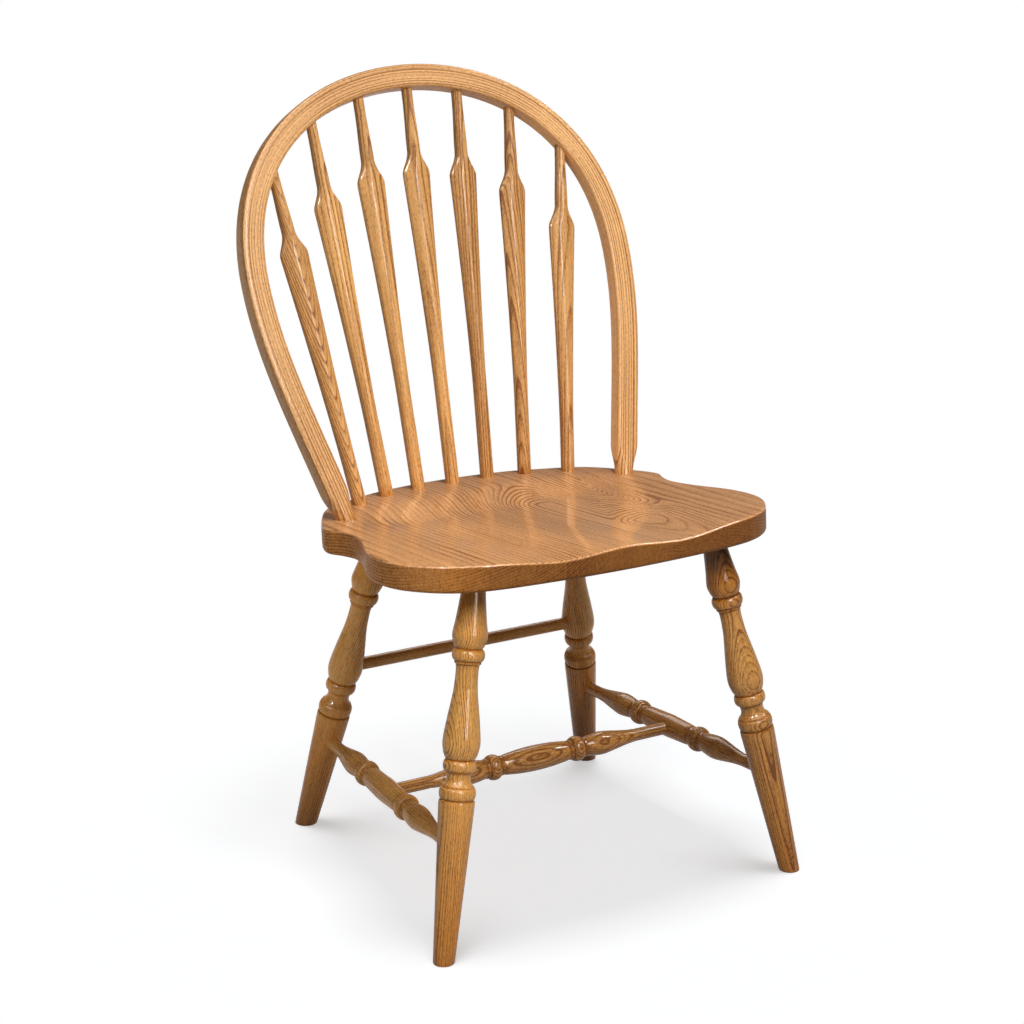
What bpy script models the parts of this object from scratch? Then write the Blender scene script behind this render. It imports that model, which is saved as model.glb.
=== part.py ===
"""Bow-back side chair in oak: saddled seat, arrow spindles, turned legs and stretchers.

Metres, +Z up. The chair faces -Y. The origin is on the floor, in the middle of the chair's
overall width and depth. Run with: blender --background --python part.py
"""
import math

import bmesh
import bpy
from mathutils import Matrix, Vector
from mathutils.geometry import interpolate_bezier

# Fits
CLEARANCE = 0.0003              # between a tenon and its socket, and between glued boards
CUT_MARGIN = 0.02               # how far a cutter runs past the wood that it cuts
FLOOR_HALF = 1.0                # half size of the block that cuts the feet level

# Seat, in its own tilted plane
SEAT_HEIGHT = 0.4353            # top face above the origin
SEAT_PITCH = math.radians(4.84)  # the seat falls towards the back
SEAT_WIDTH = 0.494
SEAT_FRONT = 0.2655             # front edge, ahead of the origin
SEAT_BACK = 0.1741              # back edge, behind the origin
SEAT_THICKNESS = 0.031
SEAT_EDGE_RADIUS = 0.004
BOARD_COUNT = 6
BOARD_WIDTH = 0.0842

# Half of the seat's outline from the back round to the front, as shares of the half
# width and of the depth behind (+) or ahead of (-) the origin
SEAT_OUTLINE = [
    (0.000, 1.000), (0.313, 0.958), (0.525, 0.855), (0.729, 0.677), (0.866, 0.395),
    (0.955, 0.135), (0.914, -0.010), (0.879, -0.110), (0.907, -0.253), (0.968, -0.440),
    (1.000, -0.600), (0.965, -0.745), (0.858, -0.880), (0.675, -0.958), (0.364, -0.991),
    (0.000, -1.000),
]
OUTLINE_STEPS = 2               # points drawn for each point of the outline
EDGE_TURNS = (0.0, math.pi / 4, math.pi / 2)    # rings drawn round each edge

# Saddle carved into the seat's top
SADDLE_DEPTH = 0.0115
SADDLE_FLAT_HALF = 0.095        # full depth out to here from the middle
SADDLE_REACH_HALF = 0.215       # runs out here at the sides
SADDLE_FULL_Y = 0.015           # full depth up to here
SADDLE_BACK_RIM = 0.066         # flat rim left at the back edge
SADDLE_FRONT_SHARE = 0.78       # share of the depth left at the front edge
POMMEL_SHARE = 0.60             # how much the pommel fills the front of the saddle
POMMEL_HALF_WIDTH = 0.040
SADDLE_RINGS = (0.92, 0.80, 0.65, 0.48, 0.28)   # rings drawn over the top, as shares of the outline

# Bow, in its own reclined plane; handles are those of a Bezier curve
BOW_RECLINE = math.radians(23.15)
BOW_FOOT_EDGE = 0.0505          # foot, in from the seat's widest point
BOW_FOOT_Y = 0.0534
BOW_FOOT_LEAN = math.radians(13.6)
BOW_FOOT_HANDLE = 0.1357
BOW_HALF_WIDTH = 0.2525
BOW_SHOULDER_RISE = 0.2938      # height of the widest point up the bow's plane
BOW_LOWER_HANDLE = 0.0895
BOW_UPPER_HANDLE = 0.1551
BOW_RISE = 0.5288               # height of the crown up the bow's plane
BOW_CROWN_HANDLE = 0.1323
BOW_WIDTH = 0.0285              # across, in the bow's plane
BOW_DEPTH = 0.0235              # front to back
BOW_SQUARENESS = 5.0            # superellipse power of the section
BOW_FOOT_RADIUS = 0.010
BOW_FOOT_ROUND = 0.010          # round length above the seat
BOW_FOOT_TAPER = 0.042          # length over which the round foot becomes the full section
BOW_TENON = 0.020
BOW_SIDE_RINGS = 9
BOW_CROWN_RINGS = 11

# Arrow spindles, measured down from the bow's centre line
SPINDLE_COUNT = 7
SPINDLE_ROW_EDGE = 0.0985       # outermost spindle, in from the seat's widest point
SPINDLE_ROW_INSET = 0.0268      # middle of the row, in from the seat's back edge
SPINDLE_ROW_SAG = 0.0361        # the row's ends lie this far ahead of its middle
SPINDLE_ROW_POWER = 3.0
SPINDLE_TOP_SHARES = [0.0, 0.275, 0.5533, 0.806]  # of the bow's half width, middle outwards
SPINDLE_TOP_RADIUS = 0.0067
SPINDLE_NECK_RADIUS = 0.0083
SPINDLE_NECK_START = 0.030
SPINDLE_NECK_END = 0.089
SPINDLE_HEAD_AT = 0.118
SPINDLE_HEAD_HALF = 0.0186
SPINDLE_HEAD_FLAT = 0.008       # length of the head's widest part
SPINDLE_PADDLE_HALF_THICK = 0.0070
SPINDLE_PADDLE_POWER = 1.35     # how fast the paddle narrows below the head
SPINDLE_FOOT_RADIUS = 0.0088
SPINDLE_FOOT_ROUND = 0.049      # round foot of the shortest spindle
SPINDLE_TENON = 0.018
SHOULDER_RINGS = 4
PADDLE_RINGS = 6

# Legs: position of the top under the seat, and how far the foot stands outside it
FRONT_LEG_EDGE = 0.0868         # in from the seat's widest point
FRONT_LEG_INSET = 0.0726        # in from the front edge
FRONT_SPLAY_OUT = 0.0797
FRONT_SPLAY_FORWARD = 0.0675
REAR_LEG_EDGE = 0.111
REAR_LEG_INSET = 0.0887         # in from the back edge
REAR_SPLAY_OUT = 0.0738
REAR_SPLAY_BACK = 0.0763
REAR_LEG_DROP = 0.0055          # the turnings sit this much lower on the rear legs
LEG_TENON = 0.018
LEG_TOP_RADIUS = 0.0134
LEG_TOP_STRAIGHT = 0.007        # plain length below the seat
LEG_TAPER_LENGTH = 0.200        # from the last groove to below the floor, before the foot is cut
LEG_TAPER_END_RADIUS = 0.0117

# Leg turnings: distance below the seat and radius, top to bottom
LEG_UPPER_VASE = [(0.020, 0.0144), (0.045, 0.0174), (0.063, 0.0200), (0.076, 0.0180), (0.082, 0.0152)]
LEG_UPPER_BEAD = (0.0825, 0.0935, 0.0152, 0.0179)   # start, end, root radius, crest radius
LEG_LOWER_VASE = [(0.0950, 0.0144), (0.106, 0.0128), (0.127, 0.01395), (0.157, 0.0184),
                  (0.184, 0.0214), (0.199, 0.0192), (0.2065, 0.0164)]
LEG_LOWER_BEAD = (0.2070, 0.2170, 0.0160, 0.0177)
LEG_BULB = [(0.2180, 0.0152), (0.224, 0.0134), (0.230, 0.0152), (0.236, 0.0196), (0.242, 0.0208), (0.2472, 0.0203)]
LEG_GROOVE = (0.2480, 0.2496, 0.0194)               # start, end, radius
LEG_TAPER_START = (0.2504, 0.0207)

# Stretchers: distance from the middle and radius, middle to end
SIDE_STRETCHER_FRONT_HEIGHT = 0.127
SIDE_STRETCHER_REAR_HEIGHT = 0.1178
CENTRE_STRETCHER_FORWARD = 0.0047   # ahead of the side stretchers' middles
SIDE_SWELL_RADIUS = 0.0146
CENTRE_SWELL_RADIUS = 0.0157
STRETCHER_SWELL_HALF = 0.046
STRETCHER_SWELL_BREAK = (0.021, 0.0007)             # distance, and how much thinner there
STRETCHER_ROOT_RADIUS = 0.0117
STRETCHER_BEAD = (0.052, 0.067, 0.0117, 0.0136)
STRETCHER_VASE = [(0.070, 0.0118), (0.084, 0.0137), (0.097, 0.0145), (0.114, 0.0121), (0.132, 0.0092), (0.146, 0.0078)]
STRETCHER_END_RADIUS = 0.0077
REAR_STRETCHER_HEIGHT = 0.2169
REAR_STRETCHER_RADIUS = 0.0079
LEG_MORTISE_STOP = 0.004        # stretcher tenons end this far short of the leg's axis
SIDE_MORTISE_STOP = 0.003       # centre stretcher's tenon, short of the side stretcher's axis

# Facets
LEG_SIDES = 12
STRETCHER_SIDES = 12
RING_SIDES = 12
SOCKET_SIDES = 16
CURVE_STEPS = 2                 # points drawn between two points of a turned curve
BEAD_STEPS = 3

# Finish from the photo: base colour and roughness of each group of pieces
SEAT_OAK = (0.36, 0.17, 0.065)
BOW_OAK = (0.50, 0.28, 0.11)
SPINDLE_OAK = (0.44, 0.23, 0.085)
TURNED_OAK = (0.30, 0.155, 0.06)
OAK_ROUGHNESS = 0.35


def clear_scene():
    """Remove what the file starts with and make the two collections."""
    for obj in list(bpy.data.objects):
        bpy.data.objects.remove(obj, do_unlink=True)
    collections = []
    for name in ("bow_back_chair", "joint_cutters"):
        collection = bpy.data.collections.new(name)
        bpy.context.scene.collection.children.link(collection)
        collections.append(collection)
    return collections


def oak(name, colour):
    """Satin-lacquered oak for one piece."""
    material = bpy.data.materials.new(name + "_oak")
    material.use_nodes = True
    shader = material.node_tree.nodes["Principled BSDF"]
    shader.inputs["Base Color"].default_value = (*colour, 1.0)
    shader.inputs["Roughness"].default_value = OAK_ROUGHNESS
    shader.inputs["Metallic"].default_value = 0.0
    return material


def add_piece(name, mesh, colour):
    """A named piece of the chair with its own material."""
    piece = bpy.data.objects.new(name, mesh)
    mesh.materials.append(oak(name, colour))
    PIECES.objects.link(piece)
    return piece


def as_cutter(cutter, name):
    """Keep an object as a guide for Boolean cuts only."""
    for collection in list(cutter.users_collection):
        collection.objects.unlink(cutter)
    CUTTERS.objects.link(cutter)
    cutter.name = name
    cutter.hide_render = True
    cutter.display_type = "WIRE"
    return cutter


def boolean(piece, cutter, operation="DIFFERENCE"):
    modifier = piece.modifiers.new(cutter.name, "BOOLEAN")
    modifier.operation = operation
    modifier.object = cutter
    modifier.solver = "EXACT"


def aim(piece, origin, direction):
    """Put a piece's origin at a point and its local +Z along a direction."""
    piece.location = origin
    piece.rotation_mode = "QUATERNION"
    piece.rotation_quaternion = direction.to_track_quat("Z", "Y")


def box_cutter(name, low, high):
    centre = (Vector(low) + Vector(high)) / 2
    bpy.ops.mesh.primitive_cube_add(size=1.0, location=centre)
    box = bpy.context.object
    box.scale = Vector(high) - Vector(low)
    return as_cutter(box, name)


def socket(name, end, way_out, length, radius):
    """A round socket's cutter: its blind end, the way out of it, its length and radius."""
    bpy.ops.mesh.primitive_cylinder_add(vertices=SOCKET_SIDES, radius=radius, depth=length)
    cutter = bpy.context.object
    aim(cutter, end + way_out * (length / 2), way_out)
    return as_cutter(cutter, name)


def smooth_through(points, steps, closed=False):
    """Catmull-Rom curve through points, with a number of steps for each span."""
    points = [Vector(p) for p in points]
    count = len(points)
    spans = count if closed else count - 1
    drawn = []
    for i in range(spans):
        if closed:
            p0, p1, p2, p3 = (points[(i + k) % count] for k in (-1, 0, 1, 2))
        else:
            p1, p2 = points[i], points[i + 1]
            p0 = points[i - 1] if i else p1 + (p1 - p2)
            p3 = points[i + 2] if i + 2 < count else p2 + (p2 - p1)
        for step in range(steps):
            t = step / steps
            drawn.append(0.5 * ((2 * p1) + (p2 - p0) * t + (2 * p0 - 5 * p1 + 4 * p2 - p3) * t ** 2
                                + (3 * p1 - p0 - 3 * p2 + p3) * t ** 3))
    if not closed:
        drawn.append(points[-1])
    return drawn


def bead(start, end, root, crest):
    """A half-round bead on a turned profile."""
    points = []
    for step in range(BEAD_STEPS + 1):
        angle = math.pi * step / BEAD_STEPS
        along = (start + end) / 2 - math.cos(angle) * (end - start) / 2
        points.append((along, root + math.sin(angle) * (crest - root)))
    return points


def turned(name, profile, sides, colour):
    """Turn a profile of (distance down the axis, radius) about local Z."""
    outline = [(profile[0][0], 0.0), *profile, (profile[-1][0], 0.0)]
    mesh = bpy.data.meshes.new(name)
    vertices = [(radius, 0.0, -down) for down, radius in outline]
    mesh.from_pydata(vertices, [(i, i + 1) for i in range(len(vertices) - 1)], [])
    piece = add_piece(name, mesh, colour)
    screw = piece.modifiers.new("turning", "SCREW")
    screw.axis = "Z"
    screw.angle = math.tau
    screw.steps = sides
    screw.render_steps = sides
    screw.use_merge_vertices = True
    screw.merge_threshold = 0.00001
    return piece


def loft(name, rings, tip=None):
    """Skin equal rings of points into a closed mesh; tip closes the last ring with a fan."""
    mesh = bpy.data.meshes.new(name)
    bm = bmesh.new()
    skin = [[bm.verts.new(point) for point in ring] for ring in rings]
    sides = len(rings[0])
    for lower, upper in zip(skin, skin[1:]):
        for i in range(sides):
            j = (i + 1) % sides
            bm.faces.new((lower[i], lower[j], upper[j], upper[i]))
    bm.faces.new(list(reversed(skin[0])))
    if tip is None:
        bm.faces.new(skin[-1])
    else:
        peak = bm.verts.new(tip)
        for i in range(sides):
            bm.faces.new((skin[-1][i], skin[-1][(i + 1) % sides], peak))
    bmesh.ops.recalc_face_normals(bm, faces=bm.faces)
    bm.to_mesh(mesh)
    bm.free()
    mesh.shade_smooth()
    mesh.set_sharp_from_angle(angle=math.radians(40))
    return mesh


def superellipse(half_width, half_depth, power, sides):
    """Points round a section that goes from an ellipse (2) to a rounded rectangle."""
    points = []
    for i in range(sides):
        angle = math.tau * (i + 0.5) / sides
        c, s = math.cos(angle), math.sin(angle)
        points.append((math.copysign(abs(c) ** (2 / power), c) * half_width,
                       math.copysign(abs(s) ** (2 / power), s) * half_depth))
    return points


def ease(share):
    """Smooth step from 0 to 1."""
    share = min(max(share, 0.0), 1.0)
    return share * share * (3 - 2 * share)


# Seat

SEAT_FRAME = Matrix.Translation((0, 0, SEAT_HEIGHT)) @ Matrix.Rotation(-SEAT_PITCH, 4, "X")


def seat_point(x, y, depth=0.0):
    """World point at a place on the seat's flat top, or below it."""
    return SEAT_FRAME @ Vector((x, y, -depth))


def spindle_row_y(x):
    """The curved row in which the spindles stand."""
    share = abs(x) / (SEAT_WIDTH / 2 - SPINDLE_ROW_EDGE)
    return SEAT_BACK - SPINDLE_ROW_INSET - SPINDLE_ROW_SAG * share ** SPINDLE_ROW_POWER


def saddle(x, y):
    """Depth of the carved saddle below the seat's flat top."""
    across = 1 - ease((abs(x) - SADDLE_FLAT_HALF) / (SADDLE_REACH_HALF - SADDLE_FLAT_HALF))
    rim = SEAT_BACK - SADDLE_BACK_RIM - SPINDLE_ROW_SAG * (abs(x) / SADDLE_REACH_HALF) ** 2
    along = 1 - ease((y - SADDLE_FULL_Y) / (rim - SADDLE_FULL_Y))
    forward = ease(-y / SEAT_FRONT)
    front = 1 - (1 - SADDLE_FRONT_SHARE) * forward
    pommel = POMMEL_SHARE * forward * math.exp(-(x / POMMEL_HALF_WIDTH) ** 2)
    return SADDLE_DEPTH * across * along * front * (1 - pommel)


def seat_outline():
    half = []
    for x_share, y_share in SEAT_OUTLINE:
        half.append((x_share * SEAT_WIDTH / 2, y_share * (SEAT_BACK if y_share > 0 else SEAT_FRONT)))
    other = [(-x, y) for x, y in reversed(half[1:-1])]
    return smooth_through(half + other, OUTLINE_STEPS, closed=True)


def inset_outline(outline, distance):
    """The outline moved inwards along its own normals."""
    moved = []
    for i, point in enumerate(outline):
        along = outline[(i + 1) % len(outline)] - outline[i - 1]
        normal = Vector((along.y, -along.x)).normalized()
        moved.append(point + normal * distance)
    return moved


def make_seat_blank():
    """The whole saddled seat, which the boards are cut out of."""
    outline = seat_outline()
    radius = SEAT_EDGE_RADIUS
    rings = []
    for angle in EDGE_TURNS:
        edge = inset_outline(outline, radius * (1 - math.sin(angle)))
        height = -SEAT_THICKNESS + radius * (1 - math.cos(angle))
        rings.append([(p.x, p.y, height) for p in edge])
    for angle in reversed(EDGE_TURNS):
        edge = inset_outline(outline, radius * (1 - math.sin(angle)))
        drop = radius * (1 - math.cos(angle))
        rings.append([(p.x, p.y, -drop - saddle(p.x, p.y)) for p in edge])
    inner = inset_outline(outline, radius)
    for share in SADDLE_RINGS:
        rings.append([(p.x * share, p.y * share, -saddle(p.x * share, p.y * share)) for p in inner])
    mesh = loft("seat_blank", rings, tip=(0, 0, -saddle(0, 0)))
    blank = bpy.data.objects.new("seat_blank", mesh)
    CUTTERS.objects.link(blank)
    blank.matrix_world = SEAT_FRAME
    return as_cutter(blank, "seat_blank")


def make_seat_boards(sockets):
    """Edge-glued boards running front to back, cut from the blank and drilled."""
    blank = make_seat_blank()
    boards = []
    for number in range(BOARD_COUNT):
        left = (number - BOARD_COUNT / 2) * BOARD_WIDTH
        low = Vector((left + CLEARANCE / 2, -SEAT_FRONT - CUT_MARGIN, -SEAT_THICKNESS - CUT_MARGIN))
        high = Vector((left + BOARD_WIDTH - CLEARANCE / 2, SEAT_BACK + CUT_MARGIN, CUT_MARGIN))
        if number == 0:
            low.x = -SEAT_WIDTH / 2 - CUT_MARGIN
        if number == BOARD_COUNT - 1:
            high.x = SEAT_WIDTH / 2 + CUT_MARGIN
        mesh = bpy.data.meshes.new("seat_board")
        bm = bmesh.new()
        bmesh.ops.create_cube(bm, size=1.0)
        bmesh.ops.scale(bm, vec=high - low, verts=bm.verts)
        bmesh.ops.translate(bm, vec=(low + high) / 2, verts=bm.verts)
        bm.to_mesh(mesh)
        bm.free()
        board = add_piece(f"seat_board_{number + 1}", mesh, SEAT_OAK)
        board.parent = SEAT_EMPTY
        boolean(board, blank, "INTERSECT")
        for cutter, x, reach in sockets:
            if low.x - reach < x < high.x + reach:
                boolean(board, cutter)
        boards.append(board)
    return boards


# Bow

BOW_FOOT = seat_point(SEAT_WIDTH / 2 - BOW_FOOT_EDGE, BOW_FOOT_Y)
BOW_FRAME = (Matrix.Translation((0, BOW_FOOT.y, BOW_FOOT.z)) @ Matrix.Rotation(-BOW_RECLINE, 4, "X"))


def bow_half_path():
    """Centre line of the right half in the bow's plane, from the tenon to the crown."""
    lean = Vector((math.sin(BOW_FOOT_LEAN), 0, math.cos(BOW_FOOT_LEAN)))
    foot = Vector((BOW_FOOT.x, 0, 0))
    widest = Vector((BOW_HALF_WIDTH, 0, BOW_SHOULDER_RISE))
    crown = Vector((0, 0, BOW_RISE))
    up, right = Vector((0, 0, 1)), Vector((1, 0, 0))
    side = interpolate_bezier(foot, foot + lean * BOW_FOOT_HANDLE, widest - up * BOW_LOWER_HANDLE,
                              widest, BOW_SIDE_RINGS)
    top = interpolate_bezier(widest, widest + up * BOW_UPPER_HANDLE, crown + right * BOW_CROWN_HANDLE,
                             crown, BOW_CROWN_RINGS)
    low = [foot - lean * BOW_TENON, foot, foot + lean * BOW_FOOT_ROUND]
    low += [foot + lean * (BOW_FOOT_ROUND + BOW_FOOT_TAPER * share) for share in (0.35, 0.7)]
    reached = BOW_FOOT_ROUND + BOW_FOOT_TAPER
    return low + [p for p in side if (p - foot).length > reached] + list(top[1:])


def bow_point_at(x):
    """Point of the crown's centre line at a sideways distance, in the bow's plane."""
    path = [p for p in bow_half_path() if p.z >= BOW_SHOULDER_RISE]
    for outer, inner in zip(path, path[1:]):
        if outer.x >= x >= inner.x:
            return outer.lerp(inner, (outer.x - x) / (outer.x - inner.x))
    return path[-1]


def make_bow(sockets):
    """The bent hoop: round tenons that swell into a rounded rectangular section."""
    half = bow_half_path()
    path = half + [Vector((-p.x, 0, p.z)) for p in reversed(half[:-1])]
    rings = []
    for i, point in enumerate(path):
        before, after = path[max(i - 1, 0)], path[min(i + 1, len(path) - 1)]
        along = (after - before).normalized()
        across = Vector((along.z, 0, -along.x))
        full = ease((point.z - BOW_FOOT_ROUND) / BOW_FOOT_TAPER)
        half_width = BOW_FOOT_RADIUS + (BOW_WIDTH / 2 - BOW_FOOT_RADIUS) * full
        half_depth = BOW_FOOT_RADIUS + (BOW_DEPTH / 2 - BOW_FOOT_RADIUS) * full
        power = 2 + (BOW_SQUARENESS - 2) * full
        section = superellipse(half_width, half_depth, power, RING_SIDES)
        rings.append([point + across * u + Vector((0, v, 0)) for u, v in section])
    bow = add_piece("bow", loft("bow", rings), BOW_OAK)
    bow.matrix_world = BOW_FRAME
    for cutter in sockets:
        boolean(bow, cutter)
    return bow


def bow_foot_sockets():
    """Sockets in the seat for the two feet of the bow."""
    cutters = []
    for side in (-1, 1):
        foot = Vector((side * BOW_FOOT.x, BOW_FOOT.y, BOW_FOOT.z))
        lean = Vector((side * math.sin(BOW_FOOT_LEAN), 0, math.cos(BOW_FOOT_LEAN)))
        up = (BOW_FRAME.to_3x3() @ lean).normalized()
        end = foot - up * (BOW_TENON + CLEARANCE)
        name = "bow_foot_socket_" + ("left" if side < 0 else "right")
        cutter = socket(name, end, up, BOW_TENON + CUT_MARGIN, BOW_FOOT_RADIUS + CLEARANCE)
        cutters.append((cutter, foot.x, BOW_FOOT_RADIUS + BOW_TENON))
    return cutters


# Spindles

def spindle_ends():
    """Seat point and bow point of each spindle's axis, from left to right."""
    half = SPINDLE_COUNT // 2
    step = (SEAT_WIDTH / 2 - SPINDLE_ROW_EDGE) / half
    ends = []
    for place in range(-half, half + 1):
        side = math.copysign(1, place)
        x = place * step
        top = bow_point_at(SPINDLE_TOP_SHARES[abs(place)] * BOW_HALF_WIDTH)
        ends.append((seat_point(x, spindle_row_y(x)), BOW_FRAME @ Vector((side * top.x, 0, top.z))))
    return ends


def spindle_sections(length, paddle_end):
    """(distance below the bow's centre line, half width, half thickness) down one spindle."""
    sections = [(0.0, SPINDLE_TOP_RADIUS, SPINDLE_TOP_RADIUS),
                (SPINDLE_NECK_START, SPINDLE_TOP_RADIUS, SPINDLE_TOP_RADIUS),
                (SPINDLE_NECK_END, SPINDLE_NECK_RADIUS, SPINDLE_NECK_RADIUS)]
    for ring in range(1, SHOULDER_RINGS + 1):
        share = ring / SHOULDER_RINGS
        down = SPINDLE_NECK_END + (SPINDLE_HEAD_AT - SPINDLE_NECK_END) * share
        half_width = SPINDLE_NECK_RADIUS + (SPINDLE_HEAD_HALF - SPINDLE_NECK_RADIUS) * ease(share)
        half_thick = SPINDLE_NECK_RADIUS + (SPINDLE_PADDLE_HALF_THICK - SPINDLE_NECK_RADIUS) * share
        sections.append((down, half_width, half_thick))
    start = SPINDLE_HEAD_AT + SPINDLE_HEAD_FLAT
    for ring in range(PADDLE_RINGS + 1):
        share = ring / PADDLE_RINGS
        narrowed = 1 - (1 - share) ** SPINDLE_PADDLE_POWER
        half_width = SPINDLE_HEAD_HALF + (SPINDLE_FOOT_RADIUS - SPINDLE_HEAD_HALF) * narrowed
        half_thick = (SPINDLE_PADDLE_HALF_THICK
                      + (SPINDLE_FOOT_RADIUS - SPINDLE_PADDLE_HALF_THICK) * share)
        sections.append((start + (paddle_end - start) * share, half_width, half_thick))
    sections.append((length + SPINDLE_TENON, SPINDLE_FOOT_RADIUS, SPINDLE_FOOT_RADIUS))
    return sections


def make_spindles():
    """Seven arrow spindles, alike from the top down; the outer ones are cut shorter."""
    ends = spindle_ends()
    paddle_end = min((top - foot).length for foot, top in ends) - SPINDLE_FOOT_ROUND
    seat_sockets, bow_sockets = [], []
    for number, (foot, top) in enumerate(ends, start=1):
        axis = (top - foot).normalized()
        length = (top - foot).length
        sideways = (Vector((1, 0, 0)) - axis * axis.x).normalized()
        frame = Matrix((sideways, axis.cross(sideways), axis)).transposed().to_4x4()
        rings = []
        for down, half_width, half_thick in reversed(spindle_sections(length, paddle_end)):
            section = superellipse(half_width, half_thick, 2.0, RING_SIDES)
            rings.append([(u, v, -down) for u, v in section])
        spindle = add_piece(f"spindle_{number}", loft("spindle", rings), SPINDLE_OAK)
        spindle.matrix_world = Matrix.Translation(top) @ frame
        bottom = foot - axis * (SPINDLE_TENON + CLEARANCE)
        cutter = socket(f"spindle_seat_socket_{number}", bottom, axis, SPINDLE_TENON + CUT_MARGIN,
                        SPINDLE_FOOT_RADIUS + CLEARANCE)
        seat_sockets.append((cutter, foot.x, SPINDLE_FOOT_RADIUS + SPINDLE_TENON))
        bow_sockets.append(socket(f"spindle_bow_socket_{number}", top + axis * CLEARANCE, -axis,
                                  BOW_WIDTH + CUT_MARGIN / 2, SPINDLE_TOP_RADIUS + CLEARANCE))
    return seat_sockets, bow_sockets


# Legs

def leg_axis(front, side):
    """Top of a leg's axis at the seat's underside, and its foot on the floor."""
    if front:
        x, y = SEAT_WIDTH / 2 - FRONT_LEG_EDGE, -SEAT_FRONT + FRONT_LEG_INSET
        out, along = FRONT_SPLAY_OUT, -FRONT_SPLAY_FORWARD
    else:
        x, y = SEAT_WIDTH / 2 - REAR_LEG_EDGE, SEAT_BACK - REAR_LEG_INSET
        out, along = REAR_SPLAY_OUT, REAR_SPLAY_BACK
    top = seat_point(side * x, y, SEAT_THICKNESS)
    foot = Vector((top.x + side * out, top.y + along, 0))
    return top, foot


def on_leg(front, side, height):
    """Point on a leg's axis at a height above the floor."""
    top, foot = leg_axis(front, side)
    return foot.lerp(top, height / top.z)


def leg_profile(drop):
    """Turned outline of a leg below the seat, as (distance, radius)."""
    def curve(points):
        return [(p.x, p.y) for p in smooth_through([(d, r, 0) for d, r in points], CURVE_STEPS)]

    groove_start, groove_end, groove_radius = LEG_GROOVE
    taper_start, taper_radius = LEG_TAPER_START
    shape = curve(LEG_UPPER_VASE) + bead(*LEG_UPPER_BEAD)
    shape += curve(LEG_LOWER_VASE) + bead(*LEG_LOWER_BEAD) + LEG_BULB
    shape += [(groove_start, groove_radius), (groove_end, groove_radius), (taper_start, taper_radius)]
    shape.append((taper_start + LEG_TAPER_LENGTH, LEG_TAPER_END_RADIUS))
    top = [(-LEG_TENON, LEG_TOP_RADIUS), (LEG_TOP_STRAIGHT, LEG_TOP_RADIUS)]
    return top + [(down + drop, radius) for down, radius in shape]


def make_legs():
    """Four turned legs, cut flat at the floor."""
    floor = box_cutter("floor_cut", (-FLOOR_HALF, -FLOOR_HALF, -FLOOR_HALF), (FLOOR_HALF, FLOOR_HALF, 0))
    legs, sockets = {}, []
    for front in (True, False):
        for side in (-1, 1):
            top, foot = leg_axis(front, side)
            up = (top - foot).normalized()
            name = ("front" if front else "rear") + "_leg_" + ("left" if side < 0 else "right")
            leg = turned(name, leg_profile(0.0 if front else REAR_LEG_DROP), LEG_SIDES, TURNED_OAK)
            aim(leg, top, up)
            boolean(leg, floor)
            legs[front, side] = leg
            cutter = socket(name + "_socket", top + up * (LEG_TENON + CLEARANCE), -up,
                            LEG_TENON + CUT_MARGIN, LEG_TOP_RADIUS + CLEARANCE)
            sockets.append((cutter, top.x, LEG_TOP_RADIUS + LEG_TENON))
    return legs, sockets


# Stretchers

def stretcher_profile(half_length, swell_radius):
    """Turned outline of a stretcher from end to end about its middle."""
    break_at, break_drop = STRETCHER_SWELL_BREAK
    swell = [(0.0, swell_radius), (break_at, swell_radius - break_drop),
             (STRETCHER_SWELL_HALF, STRETCHER_ROOT_RADIUS)]
    half = smooth_through([(d, r, 0) for d, r in swell], CURVE_STEPS)
    half += [Vector((d, r, 0)) for d, r in bead(*STRETCHER_BEAD)]
    points = [(p.x, p.y) for p in half] + STRETCHER_VASE + [(half_length, STRETCHER_END_RADIUS)]
    return [(-d, r) for d, r in reversed(points)] + points[1:]


def join_stretcher(name, start, end, stop, profile_of, radius, hosts):
    """A stretcher between two axes, with a blind mortise in the host at each end."""
    along = (end - start).normalized()
    half_length = (end - start).length / 2 - stop
    stretcher = turned(name, profile_of(half_length), STRETCHER_SIDES, TURNED_OAK)
    aim(stretcher, (start + end) / 2, along)
    for host, point, way_out in ((hosts[0], start, along), (hosts[1], end, -along)):
        blind = point + way_out * (stop - CLEARANCE)
        boolean(host, socket(f"{name}_in_{host.name}", blind, way_out, CUT_MARGIN * 2, radius + CLEARANCE))
    return stretcher


def make_stretchers(legs):
    """Two side stretchers, the centre stretcher between them, and the plain rear one."""
    sides, middles = {}, {}
    for side in (-1, 1):
        rear = on_leg(False, side, SIDE_STRETCHER_REAR_HEIGHT)
        front = on_leg(True, side, SIDE_STRETCHER_FRONT_HEIGHT)
        name = "side_stretcher_" + ("left" if side < 0 else "right")
        sides[side] = join_stretcher(name, rear, front, LEG_MORTISE_STOP,
                                     lambda half: stretcher_profile(half, SIDE_SWELL_RADIUS),
                                     STRETCHER_END_RADIUS, (legs[False, side], legs[True, side]))
        middles[side] = (rear + front) / 2 + (front - rear).normalized() * CENTRE_STRETCHER_FORWARD
    join_stretcher("centre_stretcher", middles[-1], middles[1], SIDE_MORTISE_STOP,
                   lambda half: stretcher_profile(half, CENTRE_SWELL_RADIUS),
                   STRETCHER_END_RADIUS, (sides[-1], sides[1]))
    join_stretcher("rear_stretcher", on_leg(False, -1, REAR_STRETCHER_HEIGHT),
                   on_leg(False, 1, REAR_STRETCHER_HEIGHT), LEG_MORTISE_STOP,
                   lambda half: [(-half, REAR_STRETCHER_RADIUS), (half, REAR_STRETCHER_RADIUS)],
                   REAR_STRETCHER_RADIUS, (legs[False, -1], legs[False, 1]))


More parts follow.
